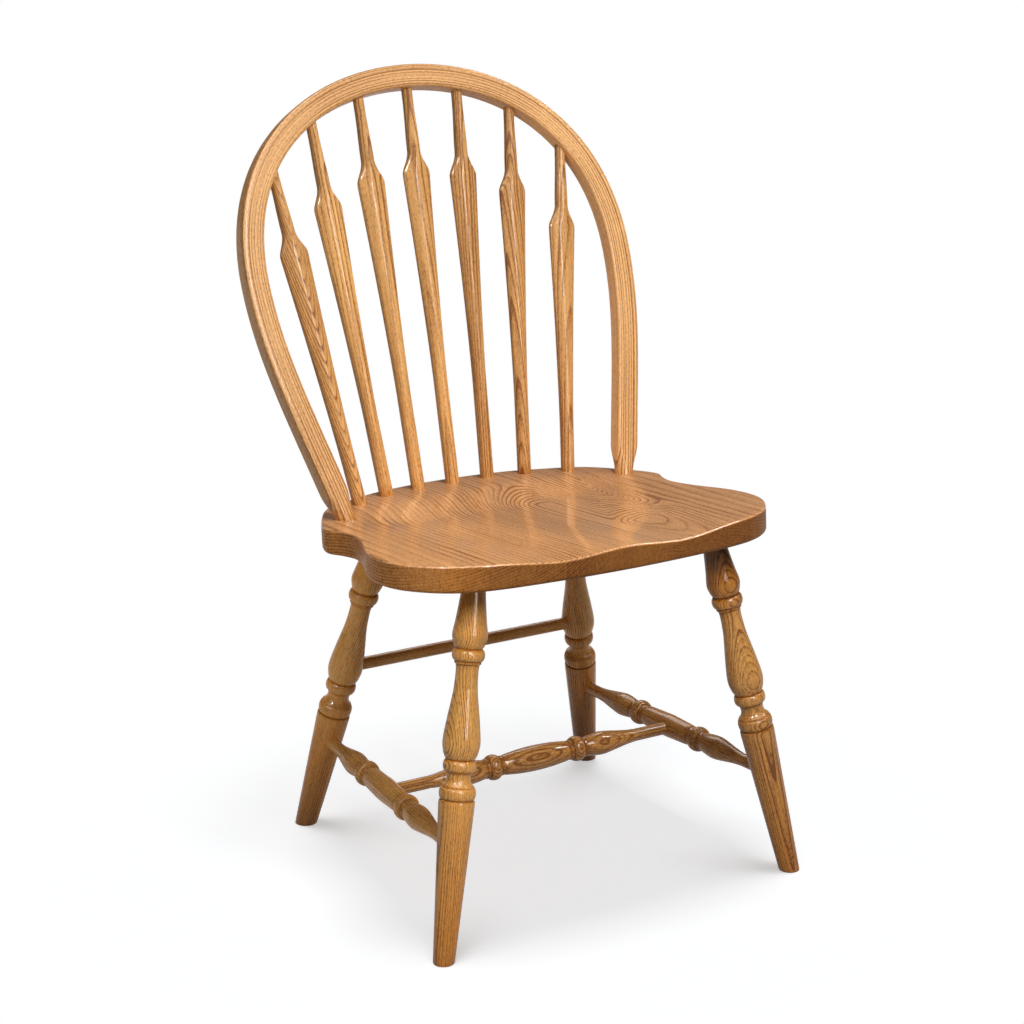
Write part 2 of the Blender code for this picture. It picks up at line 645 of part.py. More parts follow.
PIECES, CUTTERS = clear_scene()
SEAT_EMPTY = bpy.data.objects.new("seat_plane", None)
SEAT_EMPTY.matrix_world = SEAT_FRAME
PIECES.objects.link(SEAT_EMPTY)

chair_legs, leg_sockets = make_legs()
make_stretchers(chair_legs)
spindle_seat_sockets, spindle_bow_sockets = make_spindles()
make_bow(spindle_bow_sockets)
make_seat_boards(leg_sockets + spindle_seat_sockets + bow_foot_sockets())
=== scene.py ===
import math

import bmesh
import bpy
import numpy as np
from mathutils import Matrix, Vector


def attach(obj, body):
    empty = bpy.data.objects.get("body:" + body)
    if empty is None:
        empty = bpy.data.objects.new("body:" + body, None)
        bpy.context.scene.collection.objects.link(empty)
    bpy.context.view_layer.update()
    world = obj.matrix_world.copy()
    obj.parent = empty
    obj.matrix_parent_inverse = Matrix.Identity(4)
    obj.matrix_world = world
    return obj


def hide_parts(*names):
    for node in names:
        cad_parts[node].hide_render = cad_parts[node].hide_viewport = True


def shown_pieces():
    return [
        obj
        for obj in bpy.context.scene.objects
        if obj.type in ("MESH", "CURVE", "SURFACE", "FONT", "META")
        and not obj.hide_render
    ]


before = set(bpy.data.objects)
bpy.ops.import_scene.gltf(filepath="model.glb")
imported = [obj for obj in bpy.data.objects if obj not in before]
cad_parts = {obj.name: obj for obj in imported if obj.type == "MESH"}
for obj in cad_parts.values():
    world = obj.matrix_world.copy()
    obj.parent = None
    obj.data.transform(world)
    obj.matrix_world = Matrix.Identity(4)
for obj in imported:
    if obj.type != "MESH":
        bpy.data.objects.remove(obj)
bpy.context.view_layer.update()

# Lengths are in metres, in the frame of the solids: +X right, -Y ahead of the sitter, +Z up from the floor

# Seat, in its own tilted plane
SEAT_HEIGHT = 0.4353
SEAT_PITCH = math.radians(4.84)
SEAT_WIDTH = 0.494
SEAT_FRONT = 0.2655
SEAT_BACK = 0.1741
SEAT_THICKNESS = 0.031
TOP_ARRIS = 0.0024
UNDER_ARRIS = 0.0048
BOARD_COUNT = 6
BOARD_WIDTH = 0.0842
BOARD_TONES = [0.06, 0.02, 0.04, 0.02, 0.03, 0.05]
GLUE_LINE = 0.00008
SEAT_OUTLINE = [                # right half, in shares of the half width and of the reach back or forward
    (0.000, 1.000), (0.313, 0.958), (0.524, 0.855), (0.741, 0.685), (0.871, 0.401),
    (0.944, 0.145), (0.912, -0.009), (0.895, -0.108), (0.928, -0.245), (1.005, -0.433),
    (1.020, -0.602), (0.970, -0.745), (0.851, -0.879), (0.677, -0.957), (0.364, -0.998),
    (0.000, -1.014),
]
OUTLINE_SHIFT = -0.0055         # the sawn outline sits a little to the left of the chair's middle
OUTLINE_STEPS = 10
ARRIS_STEPS = 5
UNDERSIDE_SHARES = (0.3, 0.7)   # where rings of points lie on the underside and up the edge
EDGE_SHARES = (0.35, 0.65, 0.84, 0.93)
SADDLE_STEPS = 46

# Saddle carved into the seat's top
SADDLE_DEPTH = 0.0115
SADDLE_FLAT_HALF = 0.095
SADDLE_REACH_HALF = 0.215
SADDLE_FULL_Y = 0.015
SADDLE_BACK_RIM = 0.066
SCOOP_DEPTH = 0.0078            # two scoops at the front edge leave a low pommel between them
SCOOP_X = 0.078
SCOOP_HALF_WIDTH = 0.0588

# Bow, in its own reclined plane
BOW_RECLINE = math.radians(23.15)
BOW_FOOT_EDGE = 0.0505
BOW_FOOT_Y = 0.0534
BOW_FOOT_LEAN = math.radians(13.6)
BOW_FOOT_HANDLE = 0.1357
BOW_HALF_WIDTH = 0.2525
BOW_SHOULDER_RISE = 0.2938
BOW_LOWER_HANDLE = 0.0895
BOW_UPPER_HANDLE = 0.1551
BOW_RISE = 0.5288
BOW_CROWN_HANDLE = 0.1323
BOW_WIDTH = 0.0285
BOW_DEPTH = 0.0235
BOW_ARRIS = 0.0034
BOW_LEAST_FLAT = 0.00001
BOW_FOOT_RADIUS = 0.0118
BOW_FOOT_SPAN = (0.002, 0.036)  # heights between which the round foot turns into the full section
BOW_TENON = 0.018
BOW_CURVE_STEPS = 90

# The bow's wood: where its section lies in the rings, and the painted light and shade that set its sides and
# faces apart
BOW_RINGS_AT = 0.2019
BOW_RING_LEAN = 0.06
BOW_FOOT_STAIN = 0.35
BOW_FOOT_STAIN_RUN = 0.006
BOW_RIGHT_PAINTED_LIGHT = -0.13          # painted light: the right side is a little paler, most of all on its inner face
BOW_INNER_PAINTED_LIGHT = -0.15
BOW_OUTER_PAINTED_SHADE = 0.34           # painted shade: the left side's outer face is darker
BOW_CROWN_TONE = 0.10
BOW_SIDE_SPAN = (0.10, 0.22)    # way out from the middle over which a side takes its painted light and shade
BOW_CROWN_SPAN = (0.46, 0.51)
BOW_FACE_SPAN = (0.8, 1.0)      # share of the half width over which the outer or inner face begins

# Arrow spindles, measured down from the bow's centre line
SPINDLE_COUNT = 7
SPINDLE_ROW_EDGE = 0.0985
SPINDLE_ROW_INSET = 0.0268
SPINDLE_ROW_SAG = 0.0361
SPINDLE_ROW_POWER = 3.0
SPINDLE_TOP_SHARES = [0.0, 0.275, 0.5533, 0.806]
SPINDLE_TOP_RADIUS = 0.0067
SPINDLE_NECK_RADIUS = 0.0083
SPINDLE_NECK_START = 0.030
SPINDLE_NECK_END = 0.089
SPINDLE_SHOULDER_EASED = 0.8
SPINDLE_SHOULDER_POWERS = (1.2, 1.6)    # of the shoulder's eased share and of the rest
SPINDLE_HEAD_AT = 0.118
SPINDLE_HEAD_HALF = 0.0186
SPINDLE_HEAD_FLAT = 0.004
SPINDLE_PADDLE_HALF_THICK = 0.0070
SPINDLE_PADDLE_POWER = 1.35
SPINDLE_FOOT_RADIUS = 0.0088
SPINDLE_FOOT_ROUND = 0.049
SPINDLE_TENON = 0.016
SPINDLE_STEPS = (13, 13, 5, 43, 7)      # down the neck, shoulder, head, paddle and foot
SPINDLE_SIDES = 40
SPINDLE_SHARP = 60
CROWN_LOOKUP_STEPS = 400

# Legs
LEG_PLACES = {                  # way in from the seat's side, place along the seat, splay outwards and along
    "front": (0.0868, -SEAT_FRONT + 0.0726, 0.0797, -0.0675),
    "rear": (0.111, SEAT_BACK - 0.0887, 0.0738, 0.0763),
}
LEG_TENON = 0.016
LEG_TOP_RADIUS = 0.0134
LEG_TOP_STRAIGHT = 0.007
LEG_TAPER_END = (0.4504, 0.0117)
LEG_TAPER_STEPS = 15
LEG_SIDES = 56
FOOT_BEVEL = 0.0012

# Turned profiles as (distance, radius), beads as (start, end, root, crest); the legs run down from the seat
LEG_UPPER_VASE = [(0.020, 0.0144), (0.045, 0.0174), (0.062, 0.0200), (0.070, 0.0189), (0.0758, 0.0168),
                  (0.0782, 0.0150)]
LEG_UPPER_BEAD = (0.0785, 0.0922, 0.0150, 0.0187)
LEG_LIP = [(0.0925, 0.0149), (0.0931, 0.0154), (0.0950, 0.0152), (0.0958, 0.0141)]
LEG_LOWER_VASE = [(0.0964, 0.0134), (0.105, 0.0128), (0.127, 0.01395), (0.157, 0.0184), (0.182, 0.0214),
                  (0.194, 0.0201), (0.2005, 0.0178), (0.2030, 0.0160)]
LEG_LOWER_BEAD = (0.2034, 0.2165, 0.0158, 0.0190)
LEG_COVE = [(0.2171, 0.0152), (0.2195, 0.0142), (0.2240, 0.0135), (0.2285, 0.0146), (0.2318, 0.0169),
            (0.2328, 0.0183)]
LEG_FILLET = [(0.2330, 0.01845), (0.2346, 0.0185)]
LEG_RING = (0.2349, 0.2476, 0.0188, 0.0209)
LEG_GROOVE = [(0.2481, 0.0186), (0.2489, 0.0186)]
LEG_TAPER_TOP = [(0.2494, 0.0202), (0.2512, 0.0206), (0.2540, 0.02063)]

# The stretchers run out from their middles
SIDE_STRETCHER_FRONT_HEIGHT = 0.127
SIDE_STRETCHER_REAR_HEIGHT = 0.1178
CENTRE_STRETCHER_FORWARD = 0.0047
SIDE_SWELL_RADIUS = 0.0146
CENTRE_SWELL_RADIUS = 0.0157
STRETCHER_BREAK = 0.021
STRETCHER_BREAK_DROP = 0.0007
STRETCHER_SWELL_END = [(0.040, 0.0130), (0.0462, 0.0117)]
STRETCHER_INNER_FILLET = [(0.0470, 0.0115), (0.0478, 0.0123), (0.0503, 0.0124), (0.0511, 0.0116)]
STRETCHER_BEAD = (0.0517, 0.0667, 0.0116, 0.0159)
STRETCHER_OUTER_FILLET = [(0.0673, 0.0116), (0.0680, 0.0124), (0.0702, 0.0123), (0.0709, 0.0115)]
STRETCHER_VASE = [(0.0716, 0.0117), (0.084, 0.0137), (0.097, 0.0145), (0.114, 0.0121), (0.132, 0.0092),
                  (0.146, 0.0078)]
STRETCHER_END_RADIUS = 0.0077
REAR_STRETCHER_HEIGHT = 0.2169
REAR_STRETCHER_RADIUS = 0.0079
REAR_STRETCHER_STEPS = 11
LEG_MORTISE_STOP = 0.004
SIDE_MORTISE_STOP = 0.003
TURNED_CURVE_STEPS = 7
BEAD_STEPS = 10


# Small helpers for shapes

def fade(value, start=0.0, end=1.0):
    """Smooth step from 0 at the start to 1 at the end."""
    share = np.clip((value - start) / (end - start), 0.0, 1.0)
    return share * share * (3 - 2 * share)


def smooth_through(points, steps, closed=False):
    """Catmull-Rom curve through points, with a number of steps for each span."""
    points = np.array(points, float)
    if closed:
        padded = np.vstack([points[-1], points, points[:2]])
    else:
        padded = np.vstack([2 * points[0] - points[1], points, 2 * points[-1] - points[-2]])
    drawn = []
    for p0, p1, p2, p3 in zip(padded, padded[1:], padded[2:], padded[3:]):
        for t in np.arange(steps) / steps:
            drawn.append(0.5 * (2 * p1 + (p2 - p0) * t + (2 * p0 - 5 * p1 + 4 * p2 - p3) * t ** 2
                                + (3 * p1 - p0 - 3 * p2 + p3) * t ** 3))
    if not closed:
        drawn.append(points[-1])
    return np.array(drawn)


def bezier(start, handle_out, handle_in, end, steps):
    """Points along one cubic Bezier curve, both ends included."""
    t = np.linspace(0, 1, steps + 1)[:, None]
    ends = [np.array(p, float) for p in (start, handle_out, handle_in, end)]
    return ((1 - t) ** 3 * ends[0] + 3 * (1 - t) ** 2 * t * ends[1]
            + 3 * (1 - t) * t ** 2 * ends[2] + t ** 3 * ends[3])


def bead(start, end, root, crest):
    """A half-round bead on a turned profile."""
    angle = np.linspace(0, math.pi, BEAD_STEPS + 1)
    along = (start + end) / 2 - np.cos(angle) * (end - start) / 2
    return np.column_stack([along, root + np.sin(angle) * (crest - root)])


def ellipse(half_width, half_depth, sides, start=0.0):
    """Points round an ellipse; start turns them by a share of one step."""
    angle = math.tau * (np.arange(sides) + start) / sides
    return np.column_stack([np.cos(angle) * half_width, np.sin(angle) * half_depth])


def rounded_box(half_width, half_depth, radius, turns=5, flats=4):
    """Points round a rectangle with rounded corners, with some points along its flats."""
    arcs = []
    for number, (side, end) in enumerate([(1, 1), (-1, 1), (-1, -1), (1, -1)]):
        centre = (side * (half_width - radius), end * (half_depth - radius))
        angle = number * math.pi / 2 + np.linspace(0, math.pi / 2, turns + 1)
        arcs.append(centre + radius * np.column_stack([np.cos(angle), np.sin(angle)]))
    points = []
    for arc, following in zip(arcs, arcs[1:] + arcs[:1]):
        points += [arc, np.linspace(arc[-1], following[0], flats + 2)[1:-1]]
    return np.vstack(points)


def at_height(outline, height):
    """A flat outline lifted to one height, or to a height for each of its points."""
    return np.column_stack([outline, np.broadcast_to(height, len(outline))])


def matrix_points(matrix, points):
    """Many points through one 4 by 4 matrix."""
    m = np.array(matrix)
    return np.asarray(points) @ m[:3, :3].T + m[:3, 3]


def skin(rings):
    """A closed mesh over equal rings of points, with a fan over each end."""
    bm = bmesh.new()
    verts = [[bm.verts.new(point) for point in ring] for ring in rings]
    first, last = [bm.verts.new(ring.mean(0)) for ring in (rings[0], rings[-1])]
    sides = range(-1, len(verts[0]) - 1)
    for lower, upper in zip(verts, verts[1:]):
        for j in sides:
            bm.faces.new((lower[j], lower[j + 1], upper[j + 1], upper[j]))
    for j in sides:
        bm.faces.new((verts[0][j + 1], verts[0][j], first))
        bm.faces.new((verts[-1][j], verts[-1][j + 1], last))
    bmesh.ops.recalc_face_normals(bm, faces=bm.faces)
    return bm


def saw_off(bm, place, outwards):
    """Take away what lies outwards of a plane, close the cut and give the cut's edges."""
    parts = list(bm.verts) + list(bm.edges) + list(bm.faces)
    cut = bmesh.ops.bisect_plane(bm, geom=parts, plane_co=place, plane_no=outwards, clear_outer=True)
    rim = [e for e in cut["geom_cut"] if isinstance(e, bmesh.types.BMEdge)]
    bmesh.ops.contextual_create(bm, geom=rim)
    return rim


def add_object(name, data, place=(0, 0, 0), turn=None):
    """An object in the scene, moved and turned to its place."""
    made = bpy.data.objects.new(name, data)
    made.location = place
    if turn:
        made.rotation_mode = "QUATERNION"
        made.rotation_quaternion = turn
    bpy.context.scene.collection.objects.link(made)
    return made


def dress(name, bm, node, finish, figure, tone, sharp=32):
    """Turn a bmesh into a finished piece that stands for one CAD node.

    figure(points) gives each point its place in the tree (out from the pith, round it, along the
    grain), how much it is darkened there by stain, in grooves and by painted shade, how much of the
    lacquer's gloss is left and how boldly the grain shows. tone darkens the whole piece, or each point by its
    own amount, and on some pieces also carries painted light and shade.
    """
    mesh = bpy.data.meshes.new(name)
    bm.to_mesh(mesh)
    bm.free()
    mesh.shade_smooth()
    mesh.set_sharp_from_angle(angle=math.radians(sharp))
    points = np.zeros(len(mesh.vertices) * 3)
    mesh.vertices.foreach_get("co", points)
    wood, stain, gloss, bold = figure(points.reshape(-1, 3))
    mesh.attributes.new("wood", "FLOAT_VECTOR", "POINT").data.foreach_set("vector", wood.ravel())
    # stain also holds painted shade, and tone painted light and shade, on some pieces
    amounts = {"stain": stain, "gloss": gloss, "bold": bold, "tone": np.full(len(stain), tone)}
    for key, values in amounts.items():
        mesh.attributes.new(key, "FLOAT", "POINT").data.foreach_set("value", values)
    mesh.materials.append(finish)
    piece = add_object(name, mesh)
    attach(piece, "root")
    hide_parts(node)


# Small helpers for shader nodes

def feed(tree, socket, value):
    """Link a socket to another one, or give it a plain value."""
    if isinstance(value, bpy.types.NodeSocket):
        tree.links.new(value, socket)
    else:
        socket.default_value = value


def add_node(tree, kind, *inputs, **settings):
    """A shader node with its settings, and with sockets or plain values at its inputs in order."""
    made = tree.nodes.new(kind)
    for key, value in settings.items():
        setattr(made, key, value)
    for socket, value in zip(made.inputs, inputs):
        feed(tree, socket, value)
    return made


def maths(tree, operation, *inputs):
    """The result of one sum."""
    return add_node(tree, "ShaderNodeMath", *inputs, operation=operation).outputs[0]


def spread(tree, value, low, high, to_low=0.0, to_high=1.0):
    """A value taken from one range to another, clamped."""
    return add_node(tree, "ShaderNodeMapRange", value, low, high, to_low, to_high).outputs[0]


def noise(tree, socket, place, dimensions, detail, roughness=0.5):
    """Noise at a place that is already scaled."""
    made = add_node(tree, "ShaderNodeTexNoise", noise_dimensions=dimensions)
    for key, value in ((socket, place), ("Scale", 1.0), ("Detail", detail), ("Roughness", roughness)):
        feed(tree, made.inputs[key], value)
    return made.outputs["Fac"]


def grain_noise(tree, place, cycles, detail=2.0):
    """Noise with its own number of cycles for each metre out from the heart, round it and along it."""
    scaled = add_node(tree, "ShaderNodeVectorMath", place, cycles, operation="MULTIPLY").outputs[0]
    return noise(tree, "Vector", scaled, "3D", detail, GRAIN_ROUGHNESS)


def swing(tree, place, cycles):
    """The same noise about zero."""
    return maths(tree, "SUBTRACT", grain_noise(tree, place, cycles), 0.5)


def mixed(tree, share, first, second, blend="MIX", clamped=True):
    """One colour mixed with another."""
    made = add_node(tree, "ShaderNodeMix", data_type="RGBA", blend_type=blend, clamp_factor=clamped)
    for number, value in ((0, share), (6, first), (7, second)):
        feed(tree, made.inputs[number], value)
    return made.outputs[2]


def ramp(tree, value, stops, interpolation="LINEAR"):
    """A value looked up in stops of (place, colour)."""
    made = tree.nodes.new("ShaderNodeValToRGB")
    made.color_ramp.interpolation = interpolation
    while len(made.color_ramp.elements) < len(stops):
        made.color_ramp.elements.new(0.5)
    for element, (at, colour) in zip(made.color_ramp.elements, stops):
        element.position = at
        element.color = (*colour, 1.0)
    tree.links.new(value, made.inputs[0])
    return made.outputs[0]


# Oak figure; cycles are for each metre out from the tree's heart, round it and along the grain
GRAIN_ROUGHNESS = 0.55
WANDER_CYCLES = (22.0, 22.0, 9.0)
UNEVEN_CYCLES = 0.45            # for each ring
UNEVEN_SHIFT = 0.9
EARLY_WOOD = [(0.0, 0.30), (0.05, 1.0), (0.16, 0.62), (0.34, 0.18), (0.58, 0.0), (0.94, 0.0), (1.0, 0.30)]
RING_STRENGTHS = (0.5, 1.0)
PATCH_CYCLES = (90.0, 90.0, 11.0)
PATCH_SPREAD = (0.32, 0.66, 0.66, 1.12)
CALM_CYCLES = (16.0, 16.0, 5.0)
CALM_SPREAD = (0.38, 0.58, 0.40, 1.25)
PORE_CYCLES = (850.0, 850.0, 230.0)
PORE_SPREAD = (0.46, 0.66)
PORE_CROWDING = (0.6, 0.4)      # share that only the early wood has, and share that is everywhere
RAY_CYCLES = (16.0, 480.0, 30.0)
RAY_SPREAD = (0.76, 0.84)
FIBRE_CYCLES = (380.0, 380.0, 7.0)
DRIFT_CYCLES = (9.0, 9.0, 3.0)
FIBRE_DARK = 0.8
RAY_DARK = -0.22
PLAIN_DARK = 0.12
DARK_RANGE = (-0.3, 1.0)
PORE_ROUGH = 0.18
LINE_ROUGH = 0.06
PORE_SUNK = -0.7
LINE_SUNK = -0.3
PORE_DULL = -0.5
BUMP_STRENGTH = 0.5
BUMP_DEPTH = 0.0003
# the stain amount also carries painted shade, so its darker colours paint shade as well as stain
STAIN_COLOURS = [(0.0, (1.0, 1.0, 1.0)), (0.5, (0.77, 0.61, 0.33)), (1.0, (0.34, 0.26, 0.145))]
FIGURE_SOCKETS = [
    ("INPUT", "NodeSocketVector", ["Wood"]),
    ("INPUT", "NodeSocketColor", ["Pale", "Deep"]),
    ("INPUT", "NodeSocketFloat", ["Stain", "Tone", "Gloss", "Bold", "Spacing", "Wander", "Lines", "Pores",
                                  "Drift", "Polish"]),
    ("OUTPUT", "NodeSocketColor", ["Colour"]),
    ("OUTPUT", "NodeSocketFloat", ["Roughness", "Height", "Gloss"]),
]


def make_oak_figure():
    """Ring-porous grain: dark early wood in each ring, pore dashes, rays, fibres and a slow drift."""
    group = bpy.data.node_groups.new("oak_figure", "ShaderNodeTree")
    for way, kind, names in FIGURE_SOCKETS:
        for name in names:
            group.interface.new_socket(name, in_out=way, socket_type=kind)
    given = group.nodes.new("NodeGroupInput").outputs
    result = group.nodes.new("NodeGroupOutput").inputs
    place = given["Wood"]

    # Growth rings, with a wander along the grain and uneven spacing
    out_from_pith = add_node(group, "ShaderNodeSeparateXYZ", place).outputs[0]
    moved = maths(group, "MULTIPLY_ADD", swing(group, place, WANDER_CYCLES), given["Wander"], out_from_pith)
    rings = maths(group, "DIVIDE", moved, given["Spacing"])
    uneven = noise(group, "W", maths(group, "MULTIPLY", rings, UNEVEN_CYCLES), "1D", 1.0)
    rings = maths(group, "MULTIPLY_ADD", uneven, UNEVEN_SHIFT, rings)
    early_stops = [(at, (level, level, level)) for at, level in EARLY_WOOD]
    early = ramp(group, maths(group, "FRACT", rings), early_stops, "EASE")
    strength = add_node(group, "ShaderNodeTexWhiteNoise", noise_dimensions="1D")
    group.links.new(maths(group, "FLOOR", rings), strength.inputs["W"])
    strength = spread(group, strength.outputs["Value"], 0.0, 1.0, *RING_STRENGTHS)
    patches = spread(group, grain_noise(group, place, PATCH_CYCLES), *PATCH_SPREAD)
    calm = spread(group, grain_noise(group, place, CALM_CYCLES, 1.0), *CALM_SPREAD)
    line = early
    for share in (strength, patches, calm, given["Bold"]):
        line = maths(group, "MULTIPLY", line, share)

    # Open pores, most of them in the early wood, and thin pale rays straight out from the heart
    dashes = spread(group, grain_noise(group, place, PORE_CYCLES), *PORE_SPREAD)
    pores = maths(group, "MULTIPLY", dashes, maths(group, "MULTIPLY_ADD", line, *PORE_CROWDING))
    rays = spread(group, grain_noise(group, place, RAY_CYCLES, 0.0), *RAY_SPREAD)

    # Colour, from the pale wood to the deep, under the stain
    dark = maths(group, "MULTIPLY", line, given["Lines"])
    for amount, weight in ((pores, given["Pores"]), (swing(group, place, FIBRE_CYCLES), FIBRE_DARK),
                           (swing(group, place, DRIFT_CYCLES), given["Drift"]), (rays, RAY_DARK)):
        dark = maths(group, "MULTIPLY_ADD", amount, weight, dark)
    dark = maths(group, "ADD", maths(group, "ADD", dark, given["Tone"]), PLAIN_DARK)
    dark = add_node(group, "ShaderNodeClamp", dark, *DARK_RANGE).outputs[0]
    wood = mixed(group, dark, given["Pale"], given["Deep"], clamped=False)
    stain = ramp(group, given["Stain"], STAIN_COLOURS)
    group.links.new(mixed(group, 1.0, wood, stain, "MULTIPLY"), result["Colour"])

    # Pores and lines are rougher, lie lower and take less lacquer
    rough = maths(group, "MULTIPLY_ADD", pores, PORE_ROUGH, given["Polish"])
    group.links.new(maths(group, "MULTIPLY_ADD", line, LINE_ROUGH, rough), result["Roughness"])
    sunk = maths(group, "MULTIPLY_ADD", pores, PORE_SUNK, maths(group, "MULTIPLY", line, LINE_SUNK))
    group.links.new(sunk, result["Height"])
    closed = maths(group, "MULTIPLY_ADD", pores, PORE_DULL, 1.0)
    group.links.new(maths(group, "MULTIPLY", given["Gloss"], closed), result["Gloss"])
    return group


def make_finish(name, specular, coat, coat_roughness, **grain):
    """Stained and lacquered oak: the shared figure, with a group of pieces' own values at its sockets."""
    finish = bpy.data.materials.new(name)
    finish.use_nodes = True
    tree = finish.node_tree
    shader = tree.nodes["Principled BSDF"].inputs
    figure = add_node(tree, "ShaderNodeGroup", node_tree=OAK_FIGURE)
    for socket in ("Wood", "Stain", "Tone", "Gloss", "Bold"):
        read = add_node(tree, "ShaderNodeAttribute", attribute_name=socket.lower())
        tree.links.new(read.outputs["Vector" if socket == "Wood" else "Fac"], figure.inputs[socket])
    for key, value in grain.items():
        figure.inputs[key.title()].default_value = value
    bump = tree.nodes.new("ShaderNodeBump")
    bump.inputs["Strength"].default_value = BUMP_STRENGTH
    bump.inputs["Distance"].default_value = BUMP_DEPTH
    tree.links.new(figure.outputs["Height"], bump.inputs["Height"])
    tree.links.new(bump.outputs["Normal"], shader["Normal"])
    tree.links.new(figure.outputs["Colour"], shader["Base Color"])
    tree.links.new(figure.outputs["Roughness"], shader["Roughness"])
    tree.links.new(maths(tree, "MULTIPLY", figure.outputs["Gloss"], coat), shader["Coat Weight"])
    shader["Specular IOR Level"].default_value = specular
    shader["Coat Roughness"].default_value = coat_roughness
    return finish


OAK_FIGURE = make_oak_figure()
SEAT_OAK = make_finish(
    "seat_oak", pale=(0.70, 0.350, 0.142, 1), deep=(0.24, 0.090, 0.025, 1), spacing=0.0015, wander=0.0010,
    lines=1.60, pores=0.95, drift=0.8, polish=0.45, specular=0.05, coat=0.90, coat_roughness=0.10)
BOW_OAK = make_finish(
    "bow_oak", pale=(0.72, 0.395, 0.155, 1), deep=(0.27, 0.105, 0.024, 1), spacing=0.0036, wander=0.0010,
    lines=1.85, pores=1.05, drift=0.5, polish=0.42, specular=0.10, coat=0.20, coat_roughness=0.10)
SPINDLE_OAK = make_finish(
    "spindle_oak", pale=(0.74, 0.400, 0.135, 1), deep=(0.25, 0.088, 0.019, 1), spacing=0.0026, wander=0.0012,
    lines=1.20, pores=0.85, drift=0.6, polish=0.40, specular=0.08, coat=0.22, coat_roughness=0.08)
TURNED_OAK = make_finish(
    "turned_oak", pale=(0.740, 0.362, 0.092, 1), deep=(0.19, 0.067, 0.015, 1), spacing=0.0018, wander=0.0012,
    lines=1.05, pores=0.82, drift=0.6, polish=0.40, specular=0.06, coat=0.36, coat_roughness=0.08)
PIECES_APART = 3.0              # pieces of one kind come from places this far apart along the tree


def blank_figure(matrix, heart, runout, along_from, stain_at, trunk_taper=0.0):
    """Figure of a straight piece sawn from a plank.

    heart is the way from the piece's middle to the tree's heart, in the room, runout how much the
    grain leaves the piece's length, and along_from sets pieces apart along the tree. Where the trunk
    tapers the rings are cones, which a sawn face cuts into nested arches.
    """
    inverse = matrix.inverted()
    pith = (inverse.to_3x3() @ Vector(heart))[:2]

    def figure(points):
        local = matrix_points(inverse, points)
        across = local[:, 0] - pith[0] + runout[0] * local[:, 2]
        behind = local[:, 1] - pith[1] + runout[1] * local[:, 2]
        out = np.hypot(across, behind) - trunk_taper * local[:, 2]
        around = np.arctan2(behind, across) * math.hypot(*pith)
        plain = np.ones(len(local))
        return np.column_stack([out, around, local[:, 2] + along_from]), stain_at(local), plain, plain
    return figure


def groove_darkening(distance, stains):
    """Darkening in the turned grooves, by distance along the turning."""
    total = np.zeros(len(distance))
    for at, reach, depth in stains:
        total += depth * np.exp(-((distance - at) / reach) ** 2)
    return np.clip(total, 0.0, 1.0)


# Seat

SEAT_FRAME = Matrix.Translation((0, 0, SEAT_HEIGHT)) @ Matrix.Rotation(-SEAT_PITCH, 4, "X")


def seat_point(x, y, depth=0.0):
    """A point in the room from one in the seat's plane."""
    return SEAT_FRAME @ Vector((x, y, -depth))


def bowl(x, y):
    """Depth of the hollow that starts at the back rim, carried on to the front."""
    across = 1 - fade(np.abs(x), SADDLE_FLAT_HALF, SADDLE_REACH_HALF)
    rim = SEAT_BACK - SADDLE_BACK_RIM - SPINDLE_ROW_SAG * (np.abs(x) / SADDLE_REACH_HALF) ** 2
    return SADDLE_DEPTH * across * (1 - fade(y, SADDLE_FULL_Y, rim))


def saddle(x, y):
    """Depth of the carved saddle below the seat's flat top."""
    x = x - OUTLINE_SHIFT
    forward = fade(-y, 0.0, SEAT_FRONT)
    scoops = sum(np.exp(-((x - place) / SCOOP_HALF_WIDTH) ** 2) for place in (-SCOOP_X, SCOOP_X))
    return bowl(x, y) * (1 - forward) + SCOOP_DEPTH * scoops * forward


def seat_outline():
    """Points round the seat, both halves."""
    half = [(x * SEAT_WIDTH / 2, y * (SEAT_BACK if y > 0 else SEAT_FRONT)) for x, y in SEAT_OUTLINE]
    other = [(-x, y) for x, y in reversed(half[1:-1])]
    return smooth_through(half + other, OUTLINE_STEPS, closed=True) + (OUTLINE_SHIFT, 0)


def inset(outline, distance):
    """The outline moved inwards along its own normals."""
    along = np.roll(outline, -1, 0) - np.roll(outline, 1, 0)
    along /= np.linalg.norm(along, axis=1)[:, None]
    return outline + np.column_stack([along[:, 1], -along[:, 0]]) * distance


def saddled_blank():
    """The whole seat, still one piece, in its own frame, from the underside up and over."""
    outline = seat_outline()
    turns = np.linspace(0, math.pi / 2, ARRIS_STEPS + 1)
    rings = [at_height(inset(outline, UNDER_ARRIS) * share, -SEAT_THICKNESS) for share in UNDERSIDE_SHARES]
    for angle in turns:
        edge = inset(outline, UNDER_ARRIS * (1 - math.sin(angle)))
        rings.append(at_height(edge, -SEAT_THICKNESS + UNDER_ARRIS * (1 - math.cos(angle))))
    low = UNDER_ARRIS - SEAT_THICKNESS
    high = -TOP_ARRIS - saddle(*outline.T)
    for share in EDGE_SHARES:
        rings.append(at_height(outline, low + (high - low) * share))
    for angle in turns[::-1]:
        edge = inset(outline, TOP_ARRIS * (1 - math.sin(angle)))
        rings.append(at_height(edge, -TOP_ARRIS * (1 - math.cos(angle)) - saddle(*edge.T)))
    inner = inset(outline, TOP_ARRIS)
    for share in np.linspace(1, 0, SADDLE_STEPS + 1)[1:-1]:
        edge = inner * share
        rings.append(at_height(edge, -saddle(*edge.T)))
    return skin(rings)


